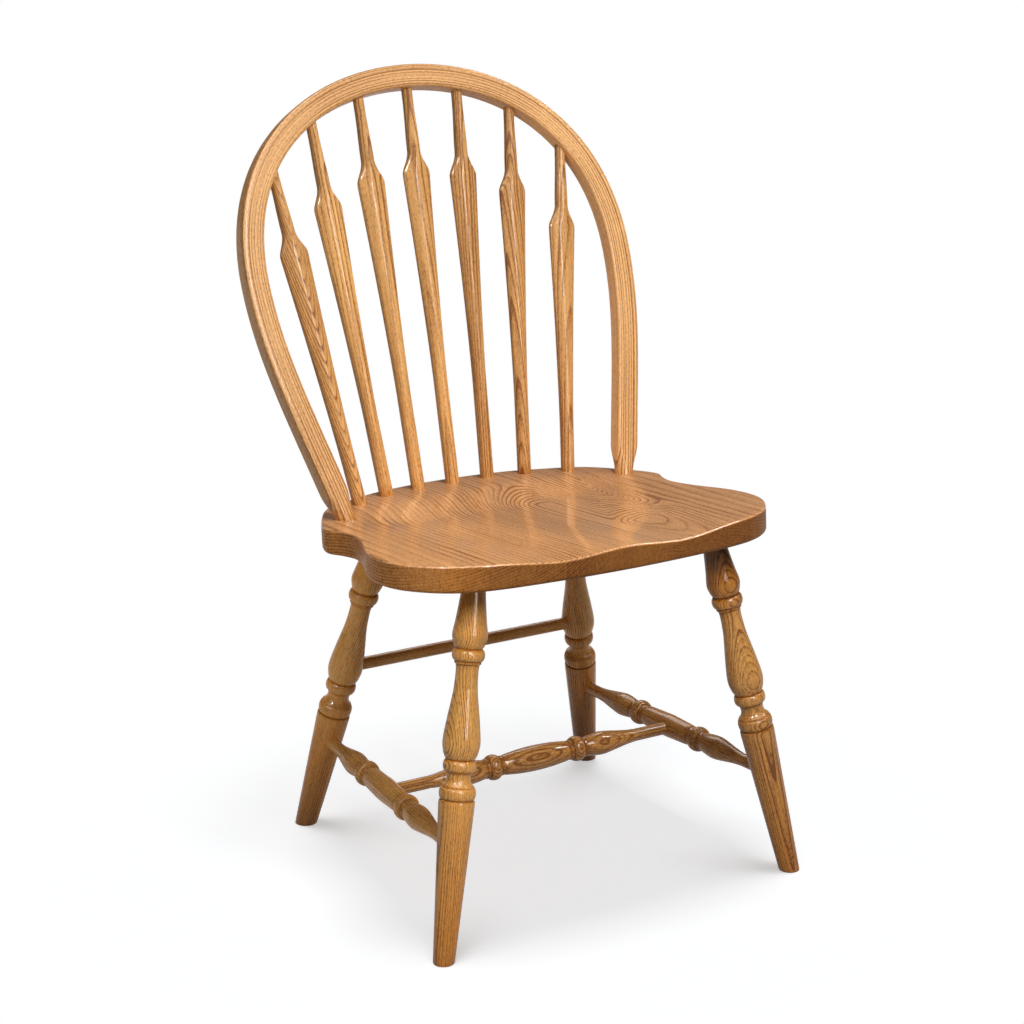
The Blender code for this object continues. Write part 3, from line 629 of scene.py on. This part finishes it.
# The seat's figure: growth layers lie almost flat in the boards and sink to both sides of two arches
SEAT_RINGS_AT = 1.0007
FIRST_ARCH_X = 0.052
FIRST_ARCH_ROUND = 0.034
FIRST_ARCH_SLOPE = 0.26
FIRST_ARCH_SPAN = 0.065
FIRST_ARCH_FORWARD = 0.012
CARVED_SHARES = (0.12, 1.05)    # how far the carved saddle cuts the layers, in general and at the first arch
QUIET_FROM = 0.165              # further left than this from the first arch the layers flatten out
QUIET_SLOPE = 0.15
QUIET_TURN = 0.02
SECOND_ARCH_X = 0.117
SECOND_ARCH_ROUND = 0.012
SECOND_ARCH_SLOPES = (0.17, 0.28)
SECOND_ARCH_LIFT = 0.0105
SECOND_ARCH_END = 0.055         # further left than this the second arch falls away
SECOND_ARCH_END_SLOPE = 0.6
SECOND_ARCH_TURN = 0.01
QUIET_RIGHT = 0.150             # further right than this the layers flatten out again
QUIET_RIGHT_SLOPE = 0.20
ARCHES_MEET = 0.0012
EYE_Y = -0.150
EYE_ROUND = 0.008
EYE_RUNS = (0.030, 0.140)       # how fast the layers sink in front of the eye and behind it
EYE_END = (0.130, 0.160)
EDGE_LAYERS = 0.42              # the layers lie this much closer together down the edge

# Where the seat's grain is bold: patches as (strength, middle, reach), and calmer on the right and back left
BOLD_PLAIN = 0.55
BOLD_PATCHES = [(0.65, (0.052, 0.05), (0.05, 0.06)), (0.85, (0.105, -0.10), (0.036, 0.09)),
                (0.35, (-0.04, -0.19), (0.07, 0.07))]
BOLD_EDGE = 0.05
CALM_RIGHT = 0.25
CALM_RIGHT_SPAN = (0.150, 0.180)
CALM_BACK = 0.22
CALM_BACK_SPAN = (0.02, 0.07)
CALM_LEFT_SPAN = (0.03, 0.09)

# The seat's gloss and its edge's stain and painted shade; spans run to the right or forward, the rubbed
# part's to the left
ARRIS_START = 0.0006            # depths below the top: the polished arris, and where it gives way to the edge
ARRIS_ENDS = (0.0012, 0.0026)
ARRIS_GLOSS = 0.3
EDGE_GLOSS = 0.05
RUBBED = 0.65
RUBBED_LEFT_SPAN = (0.01, 0.08)
RUBBED_FRONT_SPAN = (-0.03, 0.05)
EDGE_STAIN_AND_SHADE = (0.43, 0.91)      # stain where the edge is lit, and stain with painted shade where it is shaded
SHADE_FRONT_SPAN = (0.16, 0.24)
SHADE_LEFT_SPAN = (-0.235, -0.150)
SHADE_RIGHT_SPAN = (0.17, 0.22)
EDGE_BOARD_STAIN = 0.05         # the boards right of the first two are a little darker
# painted shade at the right end of the front edge
EDGE_RIGHT_SHADE = 0.11
EDGE_RIGHT_SPAN = (0.04, 0.10)


def ridge(distance, radius):
    """Distance from a line, rounded off near it."""
    return np.hypot(distance, radius) - radius


def past(distance, turn):
    """Distance past a place and 0 before it, with a soft turn between."""
    return turn * np.logaddexp(0, distance / turn)


def seat_layers(x, y, depth):
    """Place in the growth layers, which the carved saddle cuts into arches and an eye."""
    to_left = FIRST_ARCH_X - x
    near_arch = np.exp(-(to_left / FIRST_ARCH_SPAN) ** 2)
    carved = np.interp(near_arch, (0, 1), CARVED_SHARES) * bowl(x, y + FIRST_ARCH_FORWARD)
    first = FIRST_ARCH_SLOPE * ridge(to_left, FIRST_ARCH_ROUND)
    first -= QUIET_SLOPE * past(to_left - QUIET_FROM, QUIET_TURN)
    second = np.where(x < SECOND_ARCH_X, *SECOND_ARCH_SLOPES) * ridge(x - SECOND_ARCH_X, SECOND_ARCH_ROUND)
    second += np.where(y < EYE_Y, *EYE_RUNS) * (1 - fade(x, *EYE_END)) * ridge(y - EYE_Y, EYE_ROUND)
    second += SECOND_ARCH_END_SLOPE * past(SECOND_ARCH_X - x - SECOND_ARCH_END, SECOND_ARCH_TURN)
    second -= QUIET_RIGHT_SLOPE * past(x - QUIET_RIGHT, SECOND_ARCH_TURN) + SECOND_ARCH_LIFT
    arches = ARCHES_MEET * np.logaddexp(-first / ARCHES_MEET, -second / ARCHES_MEET)
    return SEAT_RINGS_AT - carved - EDGE_LAYERS * depth - arches


def seat_boldness(x, y):
    """How boldly the grain shows on the seat's top."""
    bold = np.full(len(x), BOLD_PLAIN)
    for strength, (middle_x, middle_y), (reach_x, reach_y) in BOLD_PATCHES:
        bold += strength * np.exp(-((x - middle_x) / reach_x) ** 2 - ((y - middle_y) / reach_y) ** 2)
    bold -= CALM_RIGHT * fade(x, *CALM_RIGHT_SPAN)
    return bold - CALM_BACK * fade(y, *CALM_BACK_SPAN) * fade(-x, *CALM_LEFT_SPAN)


def edge_stain_and_shade(x, y):
    """Stain of the seat's edge, with painted shade that darkens it towards the front's right and at the right
    end.
    """
    shaded = np.maximum(fade(-y, *SHADE_FRONT_SPAN) * fade(x, *SHADE_LEFT_SPAN), fade(x, *SHADE_RIGHT_SPAN))
    stain = np.interp(shaded, (0, 1), EDGE_STAIN_AND_SHADE)
    return stain + EDGE_BOARD_STAIN * (x > -BOARD_WIDTH) + EDGE_RIGHT_SHADE * fade(x, *EDGE_RIGHT_SPAN)


def board_figure(points):
    """Figure of the flat-sawn boards, with an unpolished edge and a rubbed part of the top."""
    x, y, z = matrix_points(SEAT_FRAME.inverted(), points).T
    depth = -saddle(x, y) - z
    edge = fade(depth, *ARRIS_ENDS)
    arris = fade(depth, 0.0, ARRIS_START) * (1 - edge)
    rubbed = fade(-x, *RUBBED_LEFT_SPAN) * fade(-y, *RUBBED_FRONT_SPAN)
    gloss = (1 - RUBBED * rubbed) * (1 - edge) + ARRIS_GLOSS * arris + EDGE_GLOSS * edge
    wood = np.column_stack([seat_layers(x, y, depth), x, y])
    return wood, edge * edge_stain_and_shade(x, y), gloss, seat_boldness(x, y) + BOLD_EDGE * edge


def make_seat():
    """Saw the blank into its glued-up boards."""
    blank = saddled_blank()
    for number in range(BOARD_COUNT):
        board = blank.copy()
        left = (number - BOARD_COUNT / 2) * BOARD_WIDTH
        if number > 0:
            saw_off(board, (left + GLUE_LINE, 0, 0), (-1, 0, 0))
        if number < BOARD_COUNT - 1:
            saw_off(board, (left + BOARD_WIDTH - GLUE_LINE, 0, 0), (1, 0, 0))
        bmesh.ops.recalc_face_normals(board, faces=board.faces)
        board.transform(SEAT_FRAME)
        dress(f"saddled_board_{number + 1}", board, f"seat_board_{number + 1}", SEAT_OAK,
              board_figure, BOARD_TONES[number])
    blank.free()


make_seat()


# Bow

BOW_FOOT = seat_point(SEAT_WIDTH / 2 - BOW_FOOT_EDGE, BOW_FOOT_Y)
BOW_FRAME = Matrix.Translation((0, BOW_FOOT.y, BOW_FOOT.z)) @ Matrix.Rotation(-BOW_RECLINE, 4, "X")


def bow_crown(steps):
    """Centre line from the widest point to the crown, in the bow's plane (across, up)."""
    return bezier((BOW_HALF_WIDTH, BOW_SHOULDER_RISE), (BOW_HALF_WIDTH, BOW_SHOULDER_RISE + BOW_UPPER_HANDLE),
                  (BOW_CROWN_HANDLE, BOW_RISE), (0, BOW_RISE), steps)


def bow_half():
    """Centre line of the right half from the tenon to the crown."""
    lean = np.array([math.sin(BOW_FOOT_LEAN), math.cos(BOW_FOOT_LEAN)])
    foot = np.array([BOW_FOOT.x, 0.0])
    side = bezier(foot, foot + lean * BOW_FOOT_HANDLE,
                  (BOW_HALF_WIDTH, BOW_SHOULDER_RISE - BOW_LOWER_HANDLE), (BOW_HALF_WIDTH, BOW_SHOULDER_RISE),
                  BOW_CURVE_STEPS)
    return np.vstack([foot - lean * BOW_TENON, side, bow_crown(BOW_CURVE_STEPS)[1:]])


def bow_painted_light_and_tone(point, out):
    """Painted light and shade round one section of the bow, and a darker crown; out goes from -1 on its inner
    face to 1 on its outer face.
    """
    right = float(fade(point[0], *BOW_SIDE_SPAN))
    left = float(fade(-point[0], *BOW_SIDE_SPAN))
    crown = float(fade(point[1], *BOW_CROWN_SPAN))
    outer = fade(out, *BOW_FACE_SPAN)
    inner = fade(-out, *BOW_FACE_SPAN)
    return ((BOW_RIGHT_PAINTED_LIGHT + BOW_INNER_PAINTED_LIGHT * inner) * right + BOW_OUTER_PAINTED_SHADE * outer * left
            + BOW_CROWN_TONE * crown)


def make_bow():
    """The bent hoop, with its grain following the bend."""
    half = bow_half()
    path = np.vstack([half, half[-2::-1] * (-1, 1)])
    along = np.gradient(path, axis=0)
    along /= np.linalg.norm(along, axis=1)[:, None]
    length = np.concatenate([[0], np.cumsum(np.linalg.norm(np.diff(path, axis=0), axis=1))])
    rings, wood, stain, tone = [], [], [], []
    for point, way, reached in zip(path, along, length):
        full = float(fade(point[1], *BOW_FOOT_SPAN))
        half_width, half_depth, arris = [BOW_FOOT_RADIUS + (size - BOW_FOOT_RADIUS) * full
                                         for size in (BOW_WIDTH / 2, BOW_DEPTH / 2, BOW_ARRIS)]
        radius = min(arris, half_width - BOW_LEAST_FLAT, half_depth - BOW_LEAST_FLAT)
        section = rounded_box(half_width, half_depth, radius)
        across = np.array([way[1], -way[0]])
        flat = point + section[:, :1] * across
        rings.append(np.column_stack([flat[:, 0], section[:, 1], flat[:, 1]]))
        layer = section[:, 0] + BOW_RING_LEAN * section[:, 1] + BOW_RINGS_AT
        wood.append(np.column_stack([layer, section[:, 1], np.full(len(section), reached)]))
        foot_stain = BOW_FOOT_STAIN * math.exp(-max(point[1], 0) / BOW_FOOT_STAIN_RUN)
        stain.append(np.full(len(section), foot_stain))
        tone.append(bow_painted_light_and_tone(point, section[:, 0] / half_width))
    bm = skin(matrix_points(BOW_FRAME, rings))
    wood.append(np.array([wood[0].mean(0), wood[-1].mean(0)]))
    stain.append(np.zeros(2))
    tone.append(np.zeros(2))
    dress("bent_bow", bm, "bow", BOW_OAK,
          lambda points: (np.vstack(wood), np.concatenate(stain), np.ones(len(points)), np.ones(len(points))),
          np.concatenate(tone))


make_bow()


# Spindles

def spindle_ends():
    """Seat point and bow point of each spindle's axis, from left to right."""
    half = SPINDLE_COUNT // 2
    reach = SEAT_WIDTH / 2 - SPINDLE_ROW_EDGE
    crown = bow_crown(CROWN_LOOKUP_STEPS)
    ends = []
    for place in range(-half, half + 1):
        x = place * reach / half
        y = SEAT_BACK - SPINDLE_ROW_INSET - SPINDLE_ROW_SAG * (abs(x) / reach) ** SPINDLE_ROW_POWER
        top_x = SPINDLE_TOP_SHARES[abs(place)] * BOW_HALF_WIDTH
        top_z = np.interp(top_x, crown[::-1, 0], crown[::-1, 1])
        top = BOW_FRAME @ Vector((math.copysign(top_x, place), 0, top_z))
        ends.append((seat_point(x, y), top))
    return ends


def spindle_sections(length, paddle_end):
    """Stations down a spindle: distance, half width and half thickness."""
    paddle_start = SPINDLE_HEAD_AT + SPINDLE_HEAD_FLAT
    ends = [0, SPINDLE_NECK_END, SPINDLE_HEAD_AT, paddle_start, paddle_end, length + SPINDLE_TENON]
    runs = [np.linspace(start, end, steps, endpoint=False)
            for start, end, steps in zip(ends, ends[1:], SPINDLE_STEPS)]
    down = np.concatenate([*runs, ends[-1:]])
    neck = fade(down, SPINDLE_NECK_START, SPINDLE_NECK_END)
    width = SPINDLE_TOP_RADIUS + (SPINDLE_NECK_RADIUS - SPINDLE_TOP_RADIUS) * neck
    thick = np.array(width)
    shoulder = np.clip((down - SPINDLE_NECK_END) / (SPINDLE_HEAD_AT - SPINDLE_NECK_END), 0, 1)
    eased, plain = [shoulder ** power for power in SPINDLE_SHOULDER_POWERS]
    slope = SPINDLE_SHOULDER_EASED * fade(eased) + (1 - SPINDLE_SHOULDER_EASED) * plain
    width += (SPINDLE_HEAD_HALF - SPINDLE_NECK_RADIUS) * slope
    thick += (SPINDLE_PADDLE_HALF_THICK - SPINDLE_NECK_RADIUS) * shoulder
    paddle = np.clip((down - paddle_start) / (paddle_end - paddle_start), 0, 1)
    width += (SPINDLE_FOOT_RADIUS - SPINDLE_HEAD_HALF) * (1 - (1 - paddle) ** SPINDLE_PADDLE_POWER)
    thick += (SPINDLE_FOOT_RADIUS - SPINDLE_PADDLE_HALF_THICK) * paddle
    return zip(down, width, thick)


# Each spindle's heart across and behind, its grain's runout across and in depth, its trunk's taper, its tone,
# which is partly painted shade
SPINDLE_WOOD = [
    ((0.002, -0.018), (0.0, 0.0), 0.13, 0.06),
    ((-0.012, 0.022), (-0.012, 0.0), 0.0, 0.02),
    ((-0.008, 0.024), (-0.010, 0.0), 0.0, 0.04),
    ((0.012, 0.040), (0.010, 0.010), 0.0, 0.0),
    ((-0.016, 0.026), (-0.026, 0.0), 0.0, 0.25),
    ((0.030, 0.046), (0.060, 0.02), 0.0, 0.24),
    ((-0.012, 0.055), (0.0, 0.022), 0.0, 0.22),
]
SPINDLE_FOOT_STAIN = 0.5
SPINDLE_FOOT_STAIN_RUN = 0.004


def make_spindles():
    """Seven arrow spindles, alike from the top down; the outer ones are cut shorter."""
    ends = spindle_ends()
    paddle_end = min((top - foot).length for foot, top in ends) - SPINDLE_FOOT_ROUND
    for number, (foot, top) in enumerate(ends, start=1):
        axis = (top - foot).normalized()
        length = (top - foot).length
        sideways = (Vector((1, 0, 0)) - axis * axis.x).normalized()
        turn = Matrix((sideways, axis.cross(sideways), axis)).transposed().to_4x4()
        place = Matrix.Translation(top) @ turn
        rings = [at_height(ellipse(half_width, half_thick, SPINDLE_SIDES, start=0.5), -down)
                 for down, half_width, half_thick in spindle_sections(length, paddle_end)]
        (across, behind), runout, trunk_taper, tone = SPINDLE_WOOD[number - 1]
        heart = place.to_3x3() @ Vector((across, behind, 0))

        def stain_at(local, reach=length):
            return SPINDLE_FOOT_STAIN * np.exp(-np.abs(local[:, 2] + reach) / SPINDLE_FOOT_STAIN_RUN)

        figure = blank_figure(place, heart, runout, PIECES_APART * number, stain_at, trunk_taper)
        spindle = skin(matrix_points(place, rings))
        dress(f"arrow_spindle_{number}", spindle, f"spindle_{number}", SPINDLE_OAK, figure,
              tone, sharp=SPINDLE_SHARP)


make_spindles()


# Legs and stretchers

def on_lathe(profile, sides, place):
    """Turn a profile of (distance down the axis, radius) about the piece's own Z."""
    rings = [at_height(ellipse(radius, radius, sides), -down) for down, radius in profile]
    return skin(matrix_points(place, rings))


def aimed(origin, direction):
    """A frame at a point, with its Z along a direction."""
    return Matrix.Translation(origin) @ direction.to_track_quat("Z", "Y").to_matrix().to_4x4()


def curve(points):
    """A smooth part of a turned profile."""
    return smooth_through(points, TURNED_CURVE_STEPS)


def leg_axis(end, side):
    """Top of a leg's axis at the seat's underside, and its foot on the floor."""
    inwards, y, out, along = LEG_PLACES[end]
    top = seat_point(side * (SEAT_WIDTH / 2 - inwards), y, SEAT_THICKNESS)
    return top, Vector((top.x + side * out, top.y + along, 0))


def on_leg(end, side, height):
    """The point of a leg's axis at a height above the floor."""
    top, foot = leg_axis(end, side)
    return foot.lerp(top, height / top.z)


def leg_profile(drop):
    """Turned outline of a leg, from its tenon to below the floor."""
    taper = np.linspace(LEG_TAPER_TOP[-1], LEG_TAPER_END, LEG_TAPER_STEPS + 1)[1:]
    shape = np.vstack([curve(LEG_UPPER_VASE), bead(*LEG_UPPER_BEAD), LEG_LIP, curve(LEG_LOWER_VASE),
                       bead(*LEG_LOWER_BEAD), curve(LEG_COVE), LEG_FILLET, bead(*LEG_RING), LEG_GROOVE,
                       LEG_TAPER_TOP, taper])
    top = [(-LEG_TENON, LEG_TOP_RADIUS), (0, LEG_TOP_RADIUS), (LEG_TOP_STRAIGHT, LEG_TOP_RADIUS)]
    return np.vstack([top, shape + (drop, 0)])


def turned_profile(half_length, swell_radius):
    """Turned outline of a stretcher from end to end about its middle."""
    swell = [(-STRETCHER_BREAK, swell_radius - STRETCHER_BREAK_DROP), (0.0, swell_radius),
             (STRETCHER_BREAK, swell_radius - STRETCHER_BREAK_DROP), *STRETCHER_SWELL_END]
    half = np.vstack([curve(swell)[TURNED_CURVE_STEPS:], STRETCHER_INNER_FILLET, bead(*STRETCHER_BEAD),
                      STRETCHER_OUTER_FILLET, curve(STRETCHER_VASE), [(half_length, STRETCHER_END_RADIUS)]])
    return np.vstack([half[:0:-1] * (-1, 1), half])


def plain_profile(half_length):
    """Outline of the plain round stretcher."""
    stations = np.linspace(-half_length, half_length, REAR_STRETCHER_STEPS + 1)
    return [(station, REAR_STRETCHER_RADIUS) for station in stations]


SIDES = {"left": -1, "right": 1}
RIGHTWARDS = Vector((0.864, -0.503, 0))     # across and away, as the photo sees the chair
AWAY = Vector((0.503, 0.864, 0))
UPWARDS = Vector((0, 0, 1))

# Darkening in the turned grooves as (distance, reach, depth), and painted shade down the taper as (distance,
# share)
LEG_GROOVE_DARKENING = [(0.0783, 0.0018, 0.55), (0.0926, 0.0012, 0.45), (0.0962, 0.0016, 0.45), (0.2032, 0.0018, 0.55),
              (0.2172, 0.0018, 0.50), (0.2338, 0.0016, 0.35), (0.2485, 0.0009, 0.75)]
TAPER_PAINTED_SHADE = [(0.20, 0.0), (0.27, 0.10), (0.36, 0.20), (0.43, 0.32)]
STRETCHER_GROOVE_DARKENING = [(0.0467, 0.0016, 0.5), (0.0513, 0.0012, 0.5), (0.0671, 0.0012, 0.5),
                    (0.0712, 0.0016, 0.5)]
# how far down a leg the painted shadow of the seat reaches
SHADED_TOP = 0.130
LEG_TRUNK_TAPER = 0.036
LEG_RUNOUT = (0.004, 0.003)
STRETCHER_RUNOUT = (0.003, 0.0)
LEGS_ALONG = 31.0

# Each leg's end and side, the way to its tree's heart, its tone (partly painted light and shade), how far
# down its turned details are moved, and the painted shadow of the seat on its top and the painted shade down
# its taper
LEG_WOOD = [
    ("front", "left", RIGHTWARDS * 0.046 + AWAY * 0.024, -0.10, -0.0008, 0.22, 1.9),
    ("front", "right", AWAY * 0.0445 - RIGHTWARDS * 0.022, 0.17, -0.0035, 0.97, 1.75),
    ("rear", "left", RIGHTWARDS * -0.050 + AWAY * 0.015, -0.36, 0.0025, 0.30, 3.4),
    ("rear", "right", RIGHTWARDS * 0.050 + AWAY * 0.010, -0.20, 0.0025, 0.0, 4.7),
]

# Each stretcher's way to its tree's heart, its place along the tree and its tone, which is partly painted
# light and shade
STRETCHER_WOOD = {
    "left": (Vector((0.026, 0, 0.043)), 43.0, -0.08),
    "right": (Vector((0.030, 0, 0.040)), 45.0, 0.42),
    "centre": (AWAY * 0.045 - UPWARDS * 0.02, 48.0, 0.34),
    "rear": (UPWARDS * 0.05, 51.0, -0.15),
}


def make_leg(number, end, word, heart, tone, drop, painted_top_shade, painted_taper_shade):
    """One splayed leg; drop moves its turned details down, and painted shade darkens its top under the seat
    and its taper.
    """
    top, foot = leg_axis(end, SIDES[word])
    place = aimed(top, (top - foot).normalized())
    leg = on_lathe(leg_profile(drop), LEG_SIDES, place)
    rim = saw_off(leg, (0, 0, 0), (0, 0, -1))
    bmesh.ops.bevel(leg, geom=[e for e in rim if e.is_valid], offset=FOOT_BEVEL, segments=2, profile=0.5,
                    affect="EDGES")
    bmesh.ops.recalc_face_normals(leg, faces=leg.faces)

    def stain_at(local):
        down = -local[:, 2] - drop
        # painted shadow of the seat over the leg's top, and painted shade that deepens down the taper towards
        # the foot
        painted_seat_shadow = painted_top_shade * (1 - fade(down, 0.0, SHADED_TOP))
        taper = painted_taper_shade * np.interp(down, *zip(*TAPER_PAINTED_SHADE))
        return np.clip(groove_darkening(down, LEG_GROOVE_DARKENING) + painted_seat_shadow + taper, 0.0, 1.0)

    along_from = LEGS_ALONG + PIECES_APART * number
    dress(f"turned_leg_{end}_{word}", leg, f"{end}_leg_{word}", TURNED_OAK,
          blank_figure(place, heart, LEG_RUNOUT, along_from, stain_at, LEG_TRUNK_TAPER), tone)


def make_stretcher(name, node, start, end, stop, profile_of, heart, along_from, tone):
    """One stretcher between two points; stop is how far short of them its ends stay."""
    along = (end - start).normalized()
    profile = profile_of((end - start).length / 2 - stop)
    place = aimed((start + end) / 2, along)

    def stain_at(local):
        return groove_darkening(np.abs(local[:, 2]), STRETCHER_GROOVE_DARKENING)

    dress(name, on_lathe(profile, LEG_SIDES, place), node, TURNED_OAK,
          blank_figure(place, heart, STRETCHER_RUNOUT, along_from, stain_at), tone)


def make_stretchers():
    """Turned stretchers in an H and a plain one at the back."""
    middles = []
    for word, side in SIDES.items():
        rear = on_leg("rear", side, SIDE_STRETCHER_REAR_HEIGHT)
        front = on_leg("front", side, SIDE_STRETCHER_FRONT_HEIGHT)
        make_stretcher(f"turned_stretcher_{word}", f"side_stretcher_{word}", rear, front, LEG_MORTISE_STOP,
                       lambda half: turned_profile(half, SIDE_SWELL_RADIUS), *STRETCHER_WOOD[word])
        middles.append((rear + front) / 2 + (front - rear).normalized() * CENTRE_STRETCHER_FORWARD)
    make_stretcher("turned_stretcher_centre", "centre_stretcher", *middles, SIDE_MORTISE_STOP,
                   lambda half: turned_profile(half, CENTRE_SWELL_RADIUS), *STRETCHER_WOOD["centre"])
    rear_ends = [on_leg("rear", side, REAR_STRETCHER_HEIGHT) for side in SIDES.values()]
    make_stretcher("plain_stretcher_rear", "rear_stretcher", *rear_ends, LEG_MORTISE_STOP, plain_profile,
                   *STRETCHER_WOOD["rear"])


for number, row in enumerate(LEG_WOOD):
    make_leg(number, *row)
make_stretchers()


# Studio

def set_apart(name, wanted="", but=()):
    """A group of pieces for a lamp, by how their names begin."""
    group = bpy.data.collections.new(name)
    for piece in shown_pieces():
        if piece.name.startswith(wanted) and not piece.name.startswith(but):
            group.objects.link(piece)
    return group


CHAIR = set_apart("chair_pieces")
LEGS = set_apart("chair_legs", "turned_leg")
FRONT_LEGS = set_apart("front_legs", "turned_leg_front")
ALL_BUT_FRONT_LEGS = set_apart("all_but_front_legs", but="turned_leg_front")
SPINDLES = set_apart("back_spindles", "arrow_spindle")
LEFT_FRAME = set_apart("left_frame", but=("arrow_spindle", "turned_leg_front", "turned_leg_rear_right"))
FAR_STRETCHERS = set_apart("far_stretchers", ("turned_stretcher", "plain_stretcher"), "turned_stretcher_left")
ALL_BUT_SEAT = set_apart("all_but_seat", but="saddled_board")
ALL_BUT_BOW = set_apart("all_but_bow", but="bent_bow")
FLOOR = bpy.data.collections.new("floor_pieces")
LAMP_TARGET = Vector((0, 0, 0.45))
AMBIENT = 0.12
FLOOR_RADIUS = 40.0
FLOOR_SIDES = 64
FLOOR_SEEN = (0.780, 0.810, 0.835)
FLOOR_GLOW = 0.475
FLOOR_FADE = (0.35, 0.64)       # way out from the middle over which the floor turns plain white
FLOOR_BOUNCE = (0.48, 0.48, 0.48)
WHITE = (1, 1, 1, 1)
CAMERA_PLACE = Vector((-1.38949, -2.38840, 1.26689))    # fitted to the photo
CAMERA_TARGET = Vector((-0.01733, -0.03228, 0.43386))
CAMERA_ANGLE = math.radians(24.207)
CAMERA_REACH = 100.0


def area_light(name, azimuth, elevation, size, watts, distance=3.0, lights=CHAIR, shaded_by=None, glint=False,
               matte=False):
    """A soft box that faces the chair; azimuth 0 is straight ahead of it, 90 its +X side.

    lights and shaded_by are groups of what it lights and of what stands in its way, or None for all.
    A glint lamp only shows as a reflection, and a matte one doesn't show as one.
    """
    a, e = math.radians(azimuth), math.radians(elevation)
    back = Vector((math.sin(a) * math.cos(e), -math.cos(a) * math.cos(e), math.sin(e)))
    light = bpy.data.lights.new(name, "AREA")
    light.shape = "RECTANGLE"
    light.size, light.size_y = size
    light.energy = watts
    lamp = add_object(name, light, LAMP_TARGET + back * distance, back.to_track_quat("Z", "Y"))
    if lights:
        lamp.light_linking.receiver_collection = lights
    if shaded_by:
        lamp.light_linking.blocker_collection = shaded_by
    lamp.visible_diffuse = not glint
    lamp.visible_glossy = not matte


def make_world():
    """A little even light from all round."""
    world = bpy.data.worlds.new("studio_ambient")
    world.use_nodes = True
    background = world.node_tree.nodes["Background"].inputs
    background["Color"].default_value = WHITE
    background["Strength"].default_value = AMBIENT
    bpy.context.scene.world = world


def seen_directly(tree):
    """1 for rays from the camera and for mirrored or see-through rays."""
    path = tree.nodes.new("ShaderNodeLightPath").outputs
    first = maths(tree, "MAXIMUM", path["Is Camera Ray"], path["Is Glossy Ray"])
    return maths(tree, "MAXIMUM", first, path["Is Transmission Ray"])


def floor_paint():
    """Pale paint that turns plain white further out, and grey for the light it throws back on the chair."""
    paint = bpy.data.materials.new("studio_floor")
    paint.use_nodes = True
    tree = paint.node_tree
    tree.nodes.clear()
    matte = add_node(tree, "ShaderNodeBsdfDiffuse", (*FLOOR_SEEN, 1.0)).outputs[0]
    bounce = add_node(tree, "ShaderNodeBsdfDiffuse", (*FLOOR_BOUNCE, 1.0)).outputs[0]
    glow = add_node(tree, "ShaderNodeEmission", WHITE, FLOOR_GLOW).outputs[0]
    white = add_node(tree, "ShaderNodeEmission", WHITE, 1.0).outputs[0]
    near = add_node(tree, "ShaderNodeAddShader", matte, glow).outputs[0]
    place = tree.nodes.new("ShaderNodeNewGeometry").outputs["Position"]
    way_out = add_node(tree, "ShaderNodeVectorMath", place, operation="LENGTH").outputs["Value"]
    shown = add_node(tree, "ShaderNodeMixShader", spread(tree, way_out, *FLOOR_FADE), near, white).outputs[0]
    lit = add_node(tree, "ShaderNodeMixShader", seen_directly(tree), bounce, shown).outputs[0]
    add_node(tree, "ShaderNodeOutputMaterial", lit)
    return paint


def make_floor():
    """A round floor that takes the chair's shadow."""
    rim = at_height(ellipse(FLOOR_RADIUS, FLOOR_RADIUS, FLOOR_SIDES), 0.0)
    mesh = bpy.data.meshes.new("studio_floor")
    mesh.from_pydata(rim, [], [range(FLOOR_SIDES)])
    mesh.materials.append(floor_paint())
    floor = add_object("studio_floor", mesh)
    FLOOR.objects.link(floor)


def make_camera():
    """The camera that took the photo."""
    data = bpy.data.cameras.new("photo_camera")
    data.sensor_fit = "HORIZONTAL"
    data.angle = CAMERA_ANGLE
    data.clip_end = CAMERA_REACH
    turn = (CAMERA_TARGET - CAMERA_PLACE).to_track_quat("-Z", "Y")
    bpy.context.scene.camera = add_object("photo_camera", data, CAMERA_PLACE, turn)


area_light("key_softbox", 8, 42, (0.8, 1.2), 84, lights=ALL_BUT_FRONT_LEGS)
area_light("leg_softbox", -14, 42, (0.8, 1.2), 84, lights=FRONT_LEGS)
area_light("leg_glint", -2, 30, (0.9, 2.6), 110, lights=FRONT_LEGS, glint=True)
area_light("key_glint", -4, 30, (0.25, 2.6), 75, lights=LEFT_FRAME, glint=True)
area_light("spindle_glint", 22, 34, (0.25, 2.6), 75, lights=SPINDLES, glint=True)
area_light("right_rim", 75, 47, (0.5, 1.2), 9)
area_light("rim_glint", 72, 47, (0.35, 1.0), 60, glint=True)
area_light("left_fill", -80, 20, (1.0, 1.4), 20, lights=LEFT_FRAME)
area_light("left_glint", -60, 40, (0.3, 0.5), 150, lights=ALL_BUT_BOW, glint=True)
area_light("overhead_glint", -30, 74, (3.2, 1.2), 110, distance=2.6, glint=True)
area_light("overhead_softbox", 0, 89.5, (1.3, 1.3), 103, distance=6.0, lights=None)
area_light("floor_softbox", 0, 89.5, (1.7, 1.7), 125, distance=6.0, lights=FLOOR, shaded_by=LEGS)
area_light("stretcher_glint", 155, 38, (1.8, 1.4), 50, lights=FAR_STRETCHERS, glint=True)
area_light("back_fill", 165, 15, (1.5, 1.5), 42, lights=ALL_BUT_SEAT, matte=True)
make_world()
make_floor()
make_camera()
bpy.context.scene.view_settings.view_transform = "Standard"
